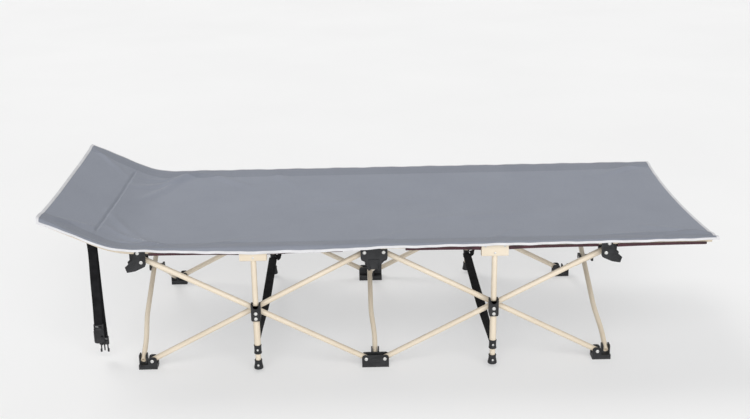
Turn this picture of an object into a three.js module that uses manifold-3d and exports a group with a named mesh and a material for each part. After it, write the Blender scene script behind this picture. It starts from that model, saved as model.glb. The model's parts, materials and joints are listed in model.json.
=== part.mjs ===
// Folding camp cot: a steel tube frame of two side scissors and three cross scissors,
// with four sliding posts, jointed rails and a stretched fabric bed.
// Millimetres, +Z up, +X from head to tail, front side at -Y.
// The origin is on the floor under the middle of the cot.
import * as THREE from 'three';
import * as BufferGeometryUtils from 'three/addons/utils/BufferGeometryUtils.js';
import Module from 'manifold-3d';

const wasm = await Module();
wasm.setup();

// ---- driving dimensions -------------------------------------------------
const BAR_SPAN = 624;          // one scissor's width between its pivots, along the bed and across it
const SCISSOR_RISE = 324;      // height between a scissor's low and high pivots
const SHOE_PIVOT_Z = 26;       // low pivots above the floor
const MID_OFFSET = 27;         // the middle station's two side pivots, each side of its centre
const CROSS_OFFSET = 28;       // cross scissor plane, outboard of an end station's side pivots
const RAIL_LIFT = 30;          // rail axis above the high pivots
const HEAD_REACH = 272;        // rail past the head station, measured flat
const TAIL_REACH = 298;        // rail past the tail station
const HEAD_SLOPE_DEG = 25;     // rise of the head section
const HEAD_BEND_RADIUS = 250;  // of the rail's axis, in a long easy bend
const HEAD_BEND_AT = 70;       // middle of that bend, past the head station
const HEAD_BEND_STEPS = 7;      // straight pieces its curve is drawn with
const BAR_RADIUS = 8;          // side bars
const BAR_WALL = 1;
const CROSS_RADIUS = 7.5;      // cross bars
const CROSS_SHIFT = 8.2;       // each cross bar's sideways jog at the crossing
const RAIL_RADIUS = 8;
const RAIL_WALL = 1;
const POLE_RADIUS = 8;
const POLE_WALL = 1;
const SLEEVE_RADIUS = 9.5;
const SLEEVE_BOTTOM = 60.7;    // a sleeve's lower end above the floor
const CHANNEL_LENGTH = 76;     // channel on top of a post, that holds two rail ends
const CHANNEL_WALL = 1.5;
const CHANNEL_DROP = 34;       // channel floor's underside below the rail axis
const POST_FOOT_GAP = 10;      // an unloaded post's foot above the floor
const POST_FOOT_HEIGHT = 28;
const POST_FOOT_RADIUS = 13.5;
const PLATE = 3.6;             // moulded cheek thickness
const RUN_GAP = 0.5;           // running clearance beside a moving tube
const SEAT_GAP = 0.3;          // gap between touching parts
const FABRIC_THICK = 2.4;
const FABRIC_OVER = 14;        // fabric past the rails' ends
const FLAP_DROP = 22;          // bound edge below the fabric's top
const WEB_WIDTH = 28;          // webbing
const WEB_THICK = 2;
const TIE_Z = 70;              // tie strap above the floor
const ROUND = 16;              // facets round a straight tube
const ROUND_BENT = 8;          // facets round a bent tube
const CORNER_FACETS = 2;       // facets round a plate's corner

// ---- sizes worked out from them -------------------------------------------
const barLength = Math.hypot(BAR_SPAN, SCISSOR_RISE);
const topPivotZ = SHOE_PIVOT_Z + SCISSOR_RISE;
const railZ = topPivotZ + RAIL_LIFT;
const crossY = BAR_SPAN / 2;                                  // cross scissor pivots
const innerY = crossY + 11;                                   // inner side bars
const outerY = innerY + 2 * BAR_RADIUS + 1;                   // outer side bars
const postY = outerY + BAR_RADIUS + 1 + SLEEVE_RADIUS + RUN_GAP;   // posts and rails
const stationX = MID_OFFSET + BAR_SPAN;                       // an end station's side pivots
const postX = MID_OFFSET + BAR_SPAN / 2;                      // a side scissor's crossing
const crossingZ = SHOE_PIVOT_Z + SCISSOR_RISE / 2;
const channelWidth = 2 * (RAIL_RADIUS + RUN_GAP + CHANNEL_WALL);
const channelBottom = railZ - CHANNEL_DROP;
// A bar's square end clears this much round its pivot.
const barEndSweep = Math.SQRT2 * BAR_RADIUS + RUN_GAP;
const crossEndSweep = Math.SQRT2 * CROSS_RADIUS + RUN_GAP;
const headSlope = THREE.MathUtils.degToRad(HEAD_SLOPE_DEG);

const SIDES = [['front', -1], ['back', 1]];
const ENDS = [['head', -1], ['tail', 1]];

// ---- materials --------------------------------------------------------------
const material = (colour, roughness, metalness) =>
  new THREE.MeshStandardMaterial({ color: new THREE.Color(...colour), roughness, metalness });
const tubePaint = material([0.80, 0.74, 0.63], 0.35, 0.2);
const blackPlastic = material([0.03, 0.03, 0.035], 0.45, 0);
const cloth = material([0.26, 0.29, 0.33], 0.85, 0);
const webbing = material([0.02, 0.02, 0.022], 0.9, 0);

// ---- geometry helpers ---------------------------------------------------------
function toSolid(geometry) {
  const bare = geometry.index ? geometry.clone() : geometry;
  bare.deleteAttribute('normal');
  bare.deleteAttribute('uv');
  const merged = BufferGeometryUtils.mergeVertices(bare, 1e-4);
  return new wasm.Manifold(new wasm.Mesh({
    numProp: 3,
    vertProperties: new Float32Array(merged.attributes.position.array),
    triVerts: new Uint32Array(merged.index.array),
  }));
}

function toGeometry(solid) {
  const mesh = solid.getMesh();
  const geometry = new THREE.BufferGeometry();
  geometry.setAttribute('position', new THREE.BufferAttribute(new Float32Array(mesh.vertProperties), 3));
  geometry.setIndex(new THREE.BufferAttribute(new Uint32Array(mesh.triVerts), 1));
  return geometry;
}

// Joins the first list of geometries and cuts the second list out of them.
function shaped(joined, cut = []) {
  let solid = toSolid(joined[0]);
  for (const geometry of joined.slice(1)) solid = solid.add(toSolid(geometry));
  for (const geometry of cut) solid = solid.subtract(toSolid(geometry));
  return toGeometry(solid);
}

// Mirrors a geometry by signs along X and Y, and keeps its faces pointing out.
function mirrored(geometry, signX, signY) {
  const copy = geometry.clone();
  copy.scale(signX, signY, 1);
  if (signX * signY < 0) {
    if (!copy.index) copy.setIndex([...Array(copy.attributes.position.count).keys()]);
    const index = copy.index.array;
    for (let i = 0; i < index.length; i += 3) {
      const kept = index[i];
      index[i] = index[i + 1];
      index[i + 1] = kept;
    }
  }
  return copy;
}

function box([x0, x1], [y0, y1], [z0, z1]) {
  const geometry = new THREE.BoxGeometry(x1 - x0, y1 - y0, z1 - z0);
  geometry.translate((x0 + x1) / 2, (y0 + y1) / 2, (z0 + z1) / 2);
  return geometry;
}

// A shape drawn in the XZ plane, as thick as from y0 to y1.
function plateXZ(shape, [y0, y1], curveSegments = CORNER_FACETS) {
  const geometry = new THREE.ExtrudeGeometry(shape, { depth: y1 - y0, bevelEnabled: false, curveSegments });
  geometry.rotateX(Math.PI / 2);
  geometry.translate(0, y1, 0);
  return geometry;
}

// A shape drawn in the YZ plane, as thick as from x0 to x1.
function plateYZ(shape, [x0, x1], curveSegments = CORNER_FACETS) {
  const geometry = new THREE.ExtrudeGeometry(shape, { depth: x1 - x0, bevelEnabled: false, curveSegments });
  geometry.rotateX(Math.PI / 2);
  geometry.rotateZ(Math.PI / 2);
  geometry.translate(x0, 0, 0);
  return geometry;
}

// A rectangle with round corners, as a shape.
function roundedRectangle(x0, x1, z0, z1, radius) {
  const shape = new THREE.Shape();
  shape.moveTo(x0 + radius, z0);
  shape.lineTo(x1 - radius, z0);
  shape.absarc(x1 - radius, z0 + radius, radius, -Math.PI / 2, 0);
  shape.lineTo(x1, z1 - radius);
  shape.absarc(x1 - radius, z1 - radius, radius, 0, Math.PI / 2);
  shape.lineTo(x0 + radius, z1);
  shape.absarc(x0 + radius, z1 - radius, radius, Math.PI / 2, Math.PI);
  shape.lineTo(x0, z0 + radius);
  shape.absarc(x0 + radius, z0 + radius, radius, Math.PI, 1.5 * Math.PI);
  return shape;
}

// An open-ended tube about the Z axis, from z = 0 up.
function uprightTube(outer, wall, length, facets = ROUND) {
  const inner = outer - wall;
  const profile = [[inner, 0], [outer, 0], [outer, length], [inner, length], [inner, 0]];
  const geometry = new THREE.LatheGeometry(profile.map(([r, z]) => new THREE.Vector2(r, z)), facets);
  geometry.rotateX(Math.PI / 2);
  return geometry;
}

function ringShape(outer, wall, facets) {
  const polygon = (radius) => Array.from({ length: facets }, (_, i) => {
    const angle = 2 * Math.PI * i / facets;
    return new THREE.Vector2(radius * Math.cos(angle), radius * Math.sin(angle));
  });
  const shape = new THREE.Shape(polygon(outer));
  shape.holes.push(new THREE.Path(polygon(outer - wall).reverse()));
  return shape;
}

// Straight runs between given points, each joint mitred.
class MitredLine extends THREE.Curve {
  constructor(points) {
    super();
    this.points = points;
  }

  getPoint(t, target = new THREE.Vector3()) {
    const place = THREE.MathUtils.clamp(t, 0, 1) * (this.points.length - 1);
    const i = Math.min(Math.floor(place), this.points.length - 2);
    return target.lerpVectors(this.points[i], this.points[i + 1], place - i);
  }

  getUtoTmapping(u) {
    return u;
  }
}

function bentTube(points, outer, wall, facets = ROUND_BENT) {
  return new THREE.ExtrudeGeometry(ringShape(outer, wall, facets),
    { steps: points.length - 1, extrudePath: new MitredLine(points) });
}

// ---- the scene graph -------------------------------------------------------------
const cot = new THREE.Group();

function addPart(name, geometry, finish, parent = cot) {
  const mesh = new THREE.Mesh(geometry, finish);
  mesh.name = name;
  parent.add(mesh);
  return mesh;
}

// Lays an upright piece from one point towards another.
function aim(mesh, from, to) {
  const direction = new THREE.Vector3().subVectors(to, from).normalize();
  mesh.quaternion.setFromUnitVectors(new THREE.Vector3(0, 0, 1), direction);
  mesh.position.copy(from).addScaledVector(direction, -BAR_RADIUS);
  return mesh;
}

// ---- side scissors: outer and inner bars -------------------------------------------
const sideBar = uprightTube(BAR_RADIUS, BAR_WALL, barLength + 2 * BAR_RADIUS);
for (const [sideName, side] of SIDES) {
  for (const [endName, end] of ENDS) {
    const at = (x, y, z) => new THREE.Vector3(end * x, side * y, z);
    aim(addPart(`outer_bar_${endName}_${sideName}`, sideBar, tubePaint),
      at(MID_OFFSET, outerY, SHOE_PIVOT_Z), at(stationX, outerY, topPivotZ));
    aim(addPart(`inner_bar_${endName}_${sideName}`, sideBar, tubePaint),
      at(stationX, innerY, SHOE_PIVOT_Z), at(MID_OFFSET, innerY, topPivotZ));
  }
}

// ---- cross scissors: two jogged bars and a hub at each station ------------------------
function crossBar(shift) {
  const jogStart = 0.09;       // shares of the bar's length
  const jogEnd = 0.23;
  const jogSteps = 5;
  const half = [[0, -CROSS_RADIUS]];
  for (let i = 0; i <= jogSteps; i += 1) {
    const share = i / jogSteps;
    half.push([shift * THREE.MathUtils.smoothstep(share, 0, 1),
      barLength * THREE.MathUtils.lerp(jogStart, jogEnd, share)]);
  }
  const whole = [...half, ...half.map(([jog, along]) => [jog, barLength - along]).reverse()];
  return bentTube(whole.map(([jog, along]) => new THREE.Vector3(jog, along, 0)), CROSS_RADIUS, BAR_WALL);
}

// Two cheeks outside the bars, tied by a web on the side that neither bar swings through.
const HUB_CHEEK = 5.5;
const HUB_HALF_HEIGHT = 9;
const HUB_FRONT = -12;
const HUB_WEB = 4;
const HUB_WEB_HALF_HEIGHT = 2.5;
const riseAngle = Math.atan2(SCISSOR_RISE, BAR_SPAN);
function crossingHub() {
  const near = CROSS_SHIFT + CROSS_RADIUS + RUN_GAP;
  const far = near + HUB_CHEEK;
  const webFront = (CROSS_RADIUS / Math.cos(riseAngle) + HUB_WEB_HALF_HEIGHT + RUN_GAP) / Math.tan(riseAngle);
  const webBack = webFront + HUB_WEB;
  const cheek = roundedRectangle(HUB_FRONT, webBack, -HUB_HALF_HEIGHT, HUB_HALF_HEIGHT, 5);
  return shaped([
    plateYZ(cheek, [-far, -near]),
    plateYZ(cheek, [near, far]),
    box([-far, far], [webFront, webBack], [-HUB_WEB_HALF_HEIGHT, HUB_WEB_HALF_HEIGHT]),
  ]);
}

const STATIONS = [['head', -(stationX + CROSS_OFFSET)], ['middle', 0], ['tail', stationX + CROSS_OFFSET]];
for (const [stationName, x] of STATIONS) {
  for (const [name, side, shift] of [['front', -1, -CROSS_SHIFT], ['back', 1, CROSS_SHIFT]]) {
    const bar = addPart(`cross_bar_${stationName}_${name}_foot`, crossBar(-side * shift), tubePaint);
    bar.position.set(x, side * crossY, SHOE_PIVOT_Z);
    const turn = side > 0 ? Math.PI : 0;
    bar.rotation.set(riseAngle, 0, turn, 'ZYX');
  }
  addPart(`crossing_hub_${stationName}`, crossingHub(), blackPlastic).position.set(x, 0, crossingZ);
}

// ---- shoes: low brackets on the floor -----------------------------------------------
const SHOE_BASE = SHOE_PIVOT_Z - barEndSweep;
const SHOE_TOP = 38;
const crossCheekIn = CROSS_RADIUS + RUN_GAP;
const crossCheekOut = crossCheekIn + PLATE;
const crossCheekY = [crossY - 12, crossY + 12];

// Two cheeks that hold a cross bar's end, in a station's own X.
function crossCheeks(x, z0, z1) {
  const cheek = () => roundedRectangle(...crossCheekY, z0, z1, 4);
  return [
    plateYZ(cheek(), [x - crossCheekOut, x - crossCheekIn]),
    plateYZ(cheek(), [x + crossCheekIn, x + crossCheekOut]),
  ];
}

function middleShoe() {
  const half = MID_OFFSET + 12;
  const inner = outerY - BAR_RADIUS - RUN_GAP;
  const outer = outerY + BAR_RADIUS + RUN_GAP;
  const outline = () => roundedRectangle(-half, half, 0, SHOE_TOP, 9);
  return shaped([
    box([-half, half], [crossCheekY[0], outer + PLATE], [0, SHOE_BASE]),
    plateXZ(outline(), [inner - PLATE, inner]),
    plateXZ(outline(), [outer, outer + PLATE]),
    ...crossCheeks(0, 1, SHOE_TOP + 6),
  ]);
}

// In the end station's own X, outboard positive.
function endShoe() {
  const inner = innerY - BAR_RADIUS - RUN_GAP;
  const outer = innerY + BAR_RADIUS + RUN_GAP;
  const near = -14;
  const far = CROSS_OFFSET + crossCheekOut;
  return shaped([
    box([near, far], [crossCheekY[0], outer + PLATE], [0, SHOE_BASE]),
    plateXZ(roundedRectangle(near, 12, 0, SHOE_TOP, 9), [outer, outer + PLATE]),
    plateXZ(roundedRectangle(near, 12, 0, SHOE_TOP, 9), [inner - PLATE, inner]),
    ...crossCheeks(CROSS_OFFSET, 1, SHOE_TOP + 2),
  ]);
}

// ---- top joints: high brackets ------------------------------------------------------
const JOINT_LOW = topPivotZ - 14;
const JOINT_HIGH = railZ + 4;

// Outline of the middle joint's face: a wide plate that tapers to a lower body.
function middleFace() {
  const half = MID_OFFSET + 11;
  const body = 21;
  const shape = new THREE.Shape();
  shape.moveTo(-half, JOINT_HIGH);
  shape.lineTo(-half, JOINT_LOW + 4);
  shape.quadraticCurveTo(-half, JOINT_LOW - 4, -half + 10, JOINT_LOW - 6);
  shape.lineTo(-body, JOINT_LOW - 14);
  shape.lineTo(-body + 1, topPivotZ - 44);
  shape.lineTo(body - 1, topPivotZ - 44);
  shape.lineTo(body, JOINT_LOW - 14);
  shape.lineTo(half - 10, JOINT_LOW - 6);
  shape.quadraticCurveTo(half, JOINT_LOW - 4, half, JOINT_LOW + 4);
  shape.lineTo(half, JOINT_HIGH);
  return shape;
}

function middleJoint() {
  const face = innerY + BAR_RADIUS + RUN_GAP;
  const outer = postY - RAIL_RADIUS - 1.5;
  return shaped([
    plateXZ(middleFace(), [face, outer]),
    box(
      [-crossCheekOut, crossCheekOut],
      [crossY + crossEndSweep, face + 1],
      [topPivotZ - 30, topPivotZ + 14],
    ),
    ...crossCheeks(0, topPivotZ - 12, topPivotZ + 14),
  ]);
}

// Outline of an end joint's cheek, outboard positive: round the rail and bar pivots, then down and out.
function endFace(top) {
  const shape = new THREE.Shape();
  shape.moveTo(-13, top);
  shape.lineTo(-13, topPivotZ - 6);
  shape.quadraticCurveTo(-12, JOINT_LOW, -4, JOINT_LOW - 2);
  shape.lineTo(18, topPivotZ - 26);
  shape.lineTo(41, topPivotZ - 30);
  shape.lineTo(46, topPivotZ - 14);
  shape.lineTo(26, topPivotZ + 4);
  shape.lineTo(15, top);
  return shape;
}

function endJoint() {
  const outerBarIn = outerY - BAR_RADIUS - RUN_GAP;
  const railIn = postY - RAIL_RADIUS - RUN_GAP;
  const railOut = postY + RAIL_RADIUS + RUN_GAP;
  const crossClear = crossY + crossEndSweep;
  return shaped([
    plateXZ(endFace(JOINT_HIGH), [crossClear, outerBarIn]),
    box([-13, 15], [outerBarIn - 1, railIn], [topPivotZ + barEndSweep, JOINT_HIGH]),
    plateXZ(endFace(JOINT_HIGH), [railOut, railOut + PLATE]),
    box([27, 42], [outerBarIn - 1, railOut + 1], [topPivotZ - 28, topPivotZ - 14]),
    box([CROSS_OFFSET - crossCheekOut, CROSS_OFFSET + crossCheekOut], [crossClear, outerBarIn],
      [topPivotZ - 28, topPivotZ + 14]),
    ...crossCheeks(CROSS_OFFSET, topPivotZ - 12, topPivotZ + 14),
  ]);
}

const stationParts = [
  ['middle', 0, 1, middleShoe(), middleJoint()],
  ['head', -stationX, -1, endShoe(), endJoint()],
  ['tail', stationX, 1, endShoe(), endJoint()],
];
for (const [sideName, side] of SIDES) {
  for (const [stationName, x, end, shoe, joint] of stationParts) {
    const label = `${stationName}_${sideName}`;
    addPart(`shoe_${label}`, mirrored(shoe, end, side), blackPlastic).position.set(x, 0, 0);
    addPart(`top_joint_${label}`, mirrored(joint, end, side), blackPlastic).position.set(x, 0, 0);
  }
}

// ---- posts, their feet, the crossing brackets and the sleeves -----------------------------
const poleBottom = POST_FOOT_GAP + 8 + SEAT_GAP;

function post() {
  const half = channelWidth / 2;
  const pole = uprightTube(POLE_RADIUS, POLE_WALL, channelBottom + 1 - poleBottom);
  pole.translate(0, 0, poleBottom);
  const floor = box([-CHANNEL_LENGTH / 2, CHANNEL_LENGTH / 2], [-half, half],
    [channelBottom, channelBottom + CHANNEL_WALL]);
  const wall = roundedRectangle(-CHANNEL_LENGTH / 2, CHANNEL_LENGTH / 2, channelBottom, railZ + 4, 3);
  return shaped([
    pole,
    floor,
    plateXZ(wall, [-half, -half + CHANNEL_WALL]),
    plateXZ(wall, [half - CHANNEL_WALL, half]),
  ]);
}

function postFoot() {
  const hole = POLE_RADIUS + SEAT_GAP;
  const profile = [
    [0, 0], [POST_FOOT_RADIUS - 1.5, 0], [POST_FOOT_RADIUS, 2], [POST_FOOT_RADIUS - 1, 9],
    [hole + 2.4, 20], [hole + 2, POST_FOOT_HEIGHT], [hole, POST_FOOT_HEIGHT], [hole, 8], [0, 8],
  ];
  const geometry = new THREE.LatheGeometry(profile.map(([r, z]) => new THREE.Vector2(r, z)), ROUND);
  geometry.rotateX(Math.PI / 2);
  return geometry;
}

const BRACKET_HALF_WIDTH = 13.5;
const BRACKET_BOTTOM = -25;
const BRACKET_TOP = 25;
// Slides on the pole: a block with a dipped neck, hung on the side scissor's crossing.
function crossingBracket() {
  const outline = new THREE.Shape();
  const half = BRACKET_HALF_WIDTH;
  outline.moveTo(-half + 4, BRACKET_BOTTOM);
  outline.lineTo(half - 4, BRACKET_BOTTOM);
  outline.quadraticCurveTo(half, BRACKET_BOTTOM, half, BRACKET_BOTTOM + 6);
  outline.lineTo(half, BRACKET_TOP);
  outline.lineTo(half - 4, BRACKET_TOP);
  outline.quadraticCurveTo(half - 5, BRACKET_TOP - 13, 0, BRACKET_TOP - 13);
  outline.quadraticCurveTo(-half + 5, BRACKET_TOP - 13, -half + 4, BRACKET_TOP);
  outline.lineTo(-half, BRACKET_TOP);
  outline.lineTo(-half, BRACKET_BOTTOM + 6);
  outline.quadraticCurveTo(-half, BRACKET_BOTTOM, -half + 4, BRACKET_BOTTOM);
  const inner = outerY + BAR_RADIUS + RUN_GAP - postY;
  const bore = new THREE.CylinderGeometry(POLE_RADIUS + RUN_GAP, POLE_RADIUS + RUN_GAP, 80, ROUND);
  bore.rotateX(Math.PI / 2);
  return shaped([plateXZ(outline, [inner, SLEEVE_RADIUS + 3.5])], [bore]);
}

const postSolid = post();
const footSolid = postFoot();
const bracketSolid = crossingBracket();
const sleeveTop = crossingZ + BRACKET_BOTTOM - SEAT_GAP;
const sleeveWall = SLEEVE_RADIUS - POLE_RADIUS - RUN_GAP;
const sleeveSolid = uprightTube(SLEEVE_RADIUS, sleeveWall, sleeveTop - SLEEVE_BOTTOM);
for (const [sideName, side] of SIDES) {
  for (const [endName, end] of ENDS) {
    const place = new THREE.Group();
    place.position.set(end * postX, side * postY, 0);
    cot.add(place);
    addPart(`post_${endName}_${sideName}`, postSolid, tubePaint, place);
    addPart(`post_foot_${endName}_${sideName}`, footSolid, blackPlastic, place).position.z = POST_FOOT_GAP;
    addPart(`slide_bracket_${endName}_${sideName}`, mirrored(bracketSolid, 1, side), blackPlastic, place)
      .position.z = crossingZ;
    addPart(`sleeve_tube_${endName}_${sideName}`, sleeveSolid, tubePaint, place)
      .position.z = SLEEVE_BOTTOM;
  }
}

// ---- rails -----------------------------------------------------------------------------
const railPivotX = CHANNEL_LENGTH / 2 - 11;   // rail pivots in a channel, each side of its centre
const TANG_LENGTH = 46;
const TANG_THICK = 3.6;
const outerPivotX = postX + railPivotX;
const innerPivotX = postX - railPivotX;
const bendStartX = stationX + HEAD_BEND_AT - HEAD_BEND_RADIUS * Math.tan(headSlope / 2);

// Rail between a post and the middle joint, from its post pivot at x = 0 to its flat tang at +X.
function innerRail(tangY) {
  const reach = innerPivotX - MID_OFFSET;
  const tube = uprightTube(RAIL_RADIUS, RAIL_WALL, reach - TANG_LENGTH + RAIL_RADIUS);
  tube.rotateY(Math.PI / 2);
  tube.translate(-RAIL_RADIUS, 0, 0);
  const tangHalf = RAIL_RADIUS - 0.8 * RAIL_WALL;      // bites into the tube's wall
  const tang = roundedRectangle(reach - TANG_LENGTH - 12, reach + 9, -tangHalf, tangHalf, tangHalf - 0.5);
  return shaped([tube, plateXZ(tang, [tangY - TANG_THICK / 2, tangY + TANG_THICK / 2])]);
}

// The head rail's axis from its post pivot, along -X, then up in a bend to the head section.
function headRailLine() {
  const straight = bendStartX - outerPivotX;
  const points = [new THREE.Vector3(RAIL_RADIUS, 0, 0)];
  for (let i = 0; i <= HEAD_BEND_STEPS; i += 1) {
    const angle = headSlope * i / HEAD_BEND_STEPS;
    points.push(new THREE.Vector3(-straight - HEAD_BEND_RADIUS * Math.sin(angle), 0,
      HEAD_BEND_RADIUS * (1 - Math.cos(angle))));
  }
  const run = stationX + HEAD_REACH - bendStartX - HEAD_BEND_RADIUS * Math.sin(headSlope);
  points.push(points.at(-1).clone().add(new THREE.Vector3(-run, 0, run * Math.tan(headSlope))));
  return points;
}

const headRail = bentTube(headRailLine(), RAIL_RADIUS, RAIL_WALL, ROUND_BENT + 4);
const tailRail = uprightTube(RAIL_RADIUS, RAIL_WALL, stationX + TAIL_REACH - outerPivotX + RAIL_RADIUS);
tailRail.rotateY(Math.PI / 2);
tailRail.translate(-RAIL_RADIUS, 0, 0);
const TANG_SPREAD = 2.2;       // the two tangs at the middle joint lie side by side
for (const [sideName, side] of SIDES) {
  const y = side * postY;
  addPart(`rail_head_${sideName}`, headRail, tubePaint).position.set(-outerPivotX, y, railZ);
  addPart(`rail_tail_${sideName}`, tailRail, tubePaint).position.set(outerPivotX, y, railZ);
  addPart(`rail_inner_head_${sideName}`, innerRail(-side * TANG_SPREAD), tubePaint)
    .position.set(-innerPivotX, y, railZ);
  addPart(`rail_inner_tail_${sideName}`, mirrored(innerRail(side * TANG_SPREAD), -1, 1), tubePaint)
    .position.set(innerPivotX, y, railZ);
}

// ---- fabric bed ---------------------------------------------------------------------------
// A sheet over the rails with a bound edge turned down outside them.
const fabricBottom = railZ + RAIL_RADIUS + SEAT_GAP;
const fabricHalfWidth = postY + RAIL_RADIUS + RUN_GAP + PLATE + 2 * SEAT_GAP + FABRIC_THICK;
const headEnd = stationX + HEAD_REACH + FABRIC_OVER;
const tailEnd = stationX + TAIL_REACH + FABRIC_OVER;
function fabricBed() {
  const lengthwise = (lift) => {
    const radius = HEAD_BEND_RADIUS - RAIL_RADIUS - SEAT_GAP - lift;
    const points = [[tailEnd, fabricBottom + lift]];
    for (let i = 0; i <= HEAD_BEND_STEPS; i += 1) {
      const angle = headSlope * i / HEAD_BEND_STEPS;
      points.push([-bendStartX - radius * Math.sin(angle),
        fabricBottom + lift + radius * (1 - Math.cos(angle))]);
    }
    const [x, z] = points.at(-1);
    points.push([-headEnd, z + (headEnd + x) * Math.tan(headSlope)]);
    return points;
  };
  const outline = (low, high) => new THREE.Shape(
    [...lengthwise(low), ...lengthwise(high).reverse()].map(([x, z]) => new THREE.Vector2(x, z)));
  return shaped([
    plateXZ(outline(0, FABRIC_THICK), [-fabricHalfWidth, fabricHalfWidth]),
    plateXZ(
      outline(-FLAP_DROP + FABRIC_THICK, FABRIC_THICK / 2),
      [-fabricHalfWidth, -fabricHalfWidth + FABRIC_THICK],
    ),
    plateXZ(
      outline(-FLAP_DROP + FABRIC_THICK, FABRIC_THICK / 2),
      [fabricHalfWidth - FABRIC_THICK, fabricHalfWidth],
    ),
  ]);
}
addPart('fabric_bed', fabricBed(), cloth);

// ---- webbing --------------------------------------------------------------------------------
// Tie straps run across under the bed between the sleeves, and up beside the back post.
for (const [endName, end] of ENDS) {
  const reach = postY - SLEEVE_RADIUS - SEAT_GAP;
  const beside = BRACKET_HALF_WIDTH + 1;
  const tie = shaped([
    box([-WEB_WIDTH / 2, WEB_WIDTH / 2], [-reach, reach], [TIE_Z, TIE_Z + WEB_THICK]),
    box([-WEB_WIDTH / 2, beside + WEB_WIDTH], [reach - WEB_THICK, reach], [TIE_Z, TIE_Z + WEB_WIDTH]),
    box([beside, beside + WEB_WIDTH], [reach - WEB_THICK, postY + WEB_THICK], [TIE_Z + 2, TIE_Z + 8]),
    box([beside, beside + WEB_WIDTH], [postY, postY + WEB_THICK], [TIE_Z + 2, channelBottom - 2]),
  ]);
  addPart(`tie_strap_${endName}`, tie, webbing).position.set(end * postX, 0, 0);
}

// Carry straps hang under the head section, each ending in one half of a buckle.
// Each is placed past the head station, and in from the cross scissor's pivots.
const CARRY_STRAPS = [
  {
    name: 'carry_strap_short', end: 'buckle_socket', past: 160, inward: 36,
    top: railZ + 41, bottom: 122, buckle: 60,
  },
  {
    name: 'carry_strap_long', end: 'buckle_plug', past: 151, inward: 50,
    top: railZ + 37, bottom: 76, buckle: 50,
  },
];
const BUCKLE_HALF_THICK = 5;
const BUCKLE_CORNER = 5;
for (const strap of CARRY_STRAPS) {
  const half = WEB_WIDTH / 2;
  const band = box([-half, half], [-WEB_THICK / 2, WEB_THICK / 2], [strap.bottom, strap.top]);
  const place = new THREE.Vector3(-(stationX + strap.past), strap.inward - crossY, 0);
  addPart(strap.name, band, webbing).position.copy(place);
  const high = strap.bottom - SEAT_GAP;
  const outline = roundedRectangle(-half, half, high - strap.buckle, high, BUCKLE_CORNER);
  const buckle = plateXZ(outline, [-BUCKLE_HALF_THICK, BUCKLE_HALF_THICK]);
  addPart(strap.end, buckle, blackPlastic).position.copy(place);
}

// The origin goes under the middle of the bed's length.
cot.position.x = (headEnd - tailEnd) / 2;

export default cot;
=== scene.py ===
# %% [markdown]
# A folding camp cot. A steel tube frame of scissors carries a stretched cloth bed, and black
# moulded joints tie the tubes together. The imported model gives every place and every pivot, so
# each new piece is put where the frame says and rides on the body that moves it.

# %% Load the frame
import json
import math
import bmesh
import bpy
from mathutils import Matrix, Vector


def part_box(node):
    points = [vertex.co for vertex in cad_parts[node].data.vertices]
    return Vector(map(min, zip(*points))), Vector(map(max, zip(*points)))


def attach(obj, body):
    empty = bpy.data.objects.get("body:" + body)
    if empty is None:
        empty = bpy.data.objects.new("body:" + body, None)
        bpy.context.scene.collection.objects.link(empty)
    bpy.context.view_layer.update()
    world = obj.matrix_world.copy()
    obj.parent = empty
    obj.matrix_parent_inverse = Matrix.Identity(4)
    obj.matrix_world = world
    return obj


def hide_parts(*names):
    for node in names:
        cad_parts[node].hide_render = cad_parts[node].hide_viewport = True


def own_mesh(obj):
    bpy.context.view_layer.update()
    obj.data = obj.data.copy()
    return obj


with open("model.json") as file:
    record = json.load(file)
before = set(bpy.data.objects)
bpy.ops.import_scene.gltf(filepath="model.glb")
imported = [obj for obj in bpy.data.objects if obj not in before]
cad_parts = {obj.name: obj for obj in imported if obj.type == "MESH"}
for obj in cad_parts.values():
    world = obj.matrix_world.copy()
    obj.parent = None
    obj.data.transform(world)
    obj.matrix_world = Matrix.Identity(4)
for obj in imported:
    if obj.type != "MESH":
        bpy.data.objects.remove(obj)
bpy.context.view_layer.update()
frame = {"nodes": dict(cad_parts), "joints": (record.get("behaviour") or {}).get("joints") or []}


# %% Pivots from the frame
def pivot(joint_name):
    """Where a joint turns, in metres."""
    found = next(joint for joint in frame["joints"] if joint["name"] == joint_name)
    return Vector(found["pos_m"])


SIDES = {"front": -1, "back": 1}
ENDS = {"head": -1, "tail": 1}
STATIONS = ("head", "middle", "tail")
COT_MIDDLE = pivot("crossing_hub_middle_hinge").x
RAIL_HEIGHT = pivot("rail_head_front_hinge").z
RAIL_SIDE = -pivot("rail_head_front_hinge").y
SHOE_HEIGHT = pivot("fold").z
HIGH_HEIGHT = pivot("end_joint_head_front_hinge").z
CROSS_SIDE = -pivot("cross_bar_middle_front_foot_hinge").y
print("rail height", round(RAIL_HEIGHT, 3), "rail side", round(RAIL_SIDE, 3))
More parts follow.
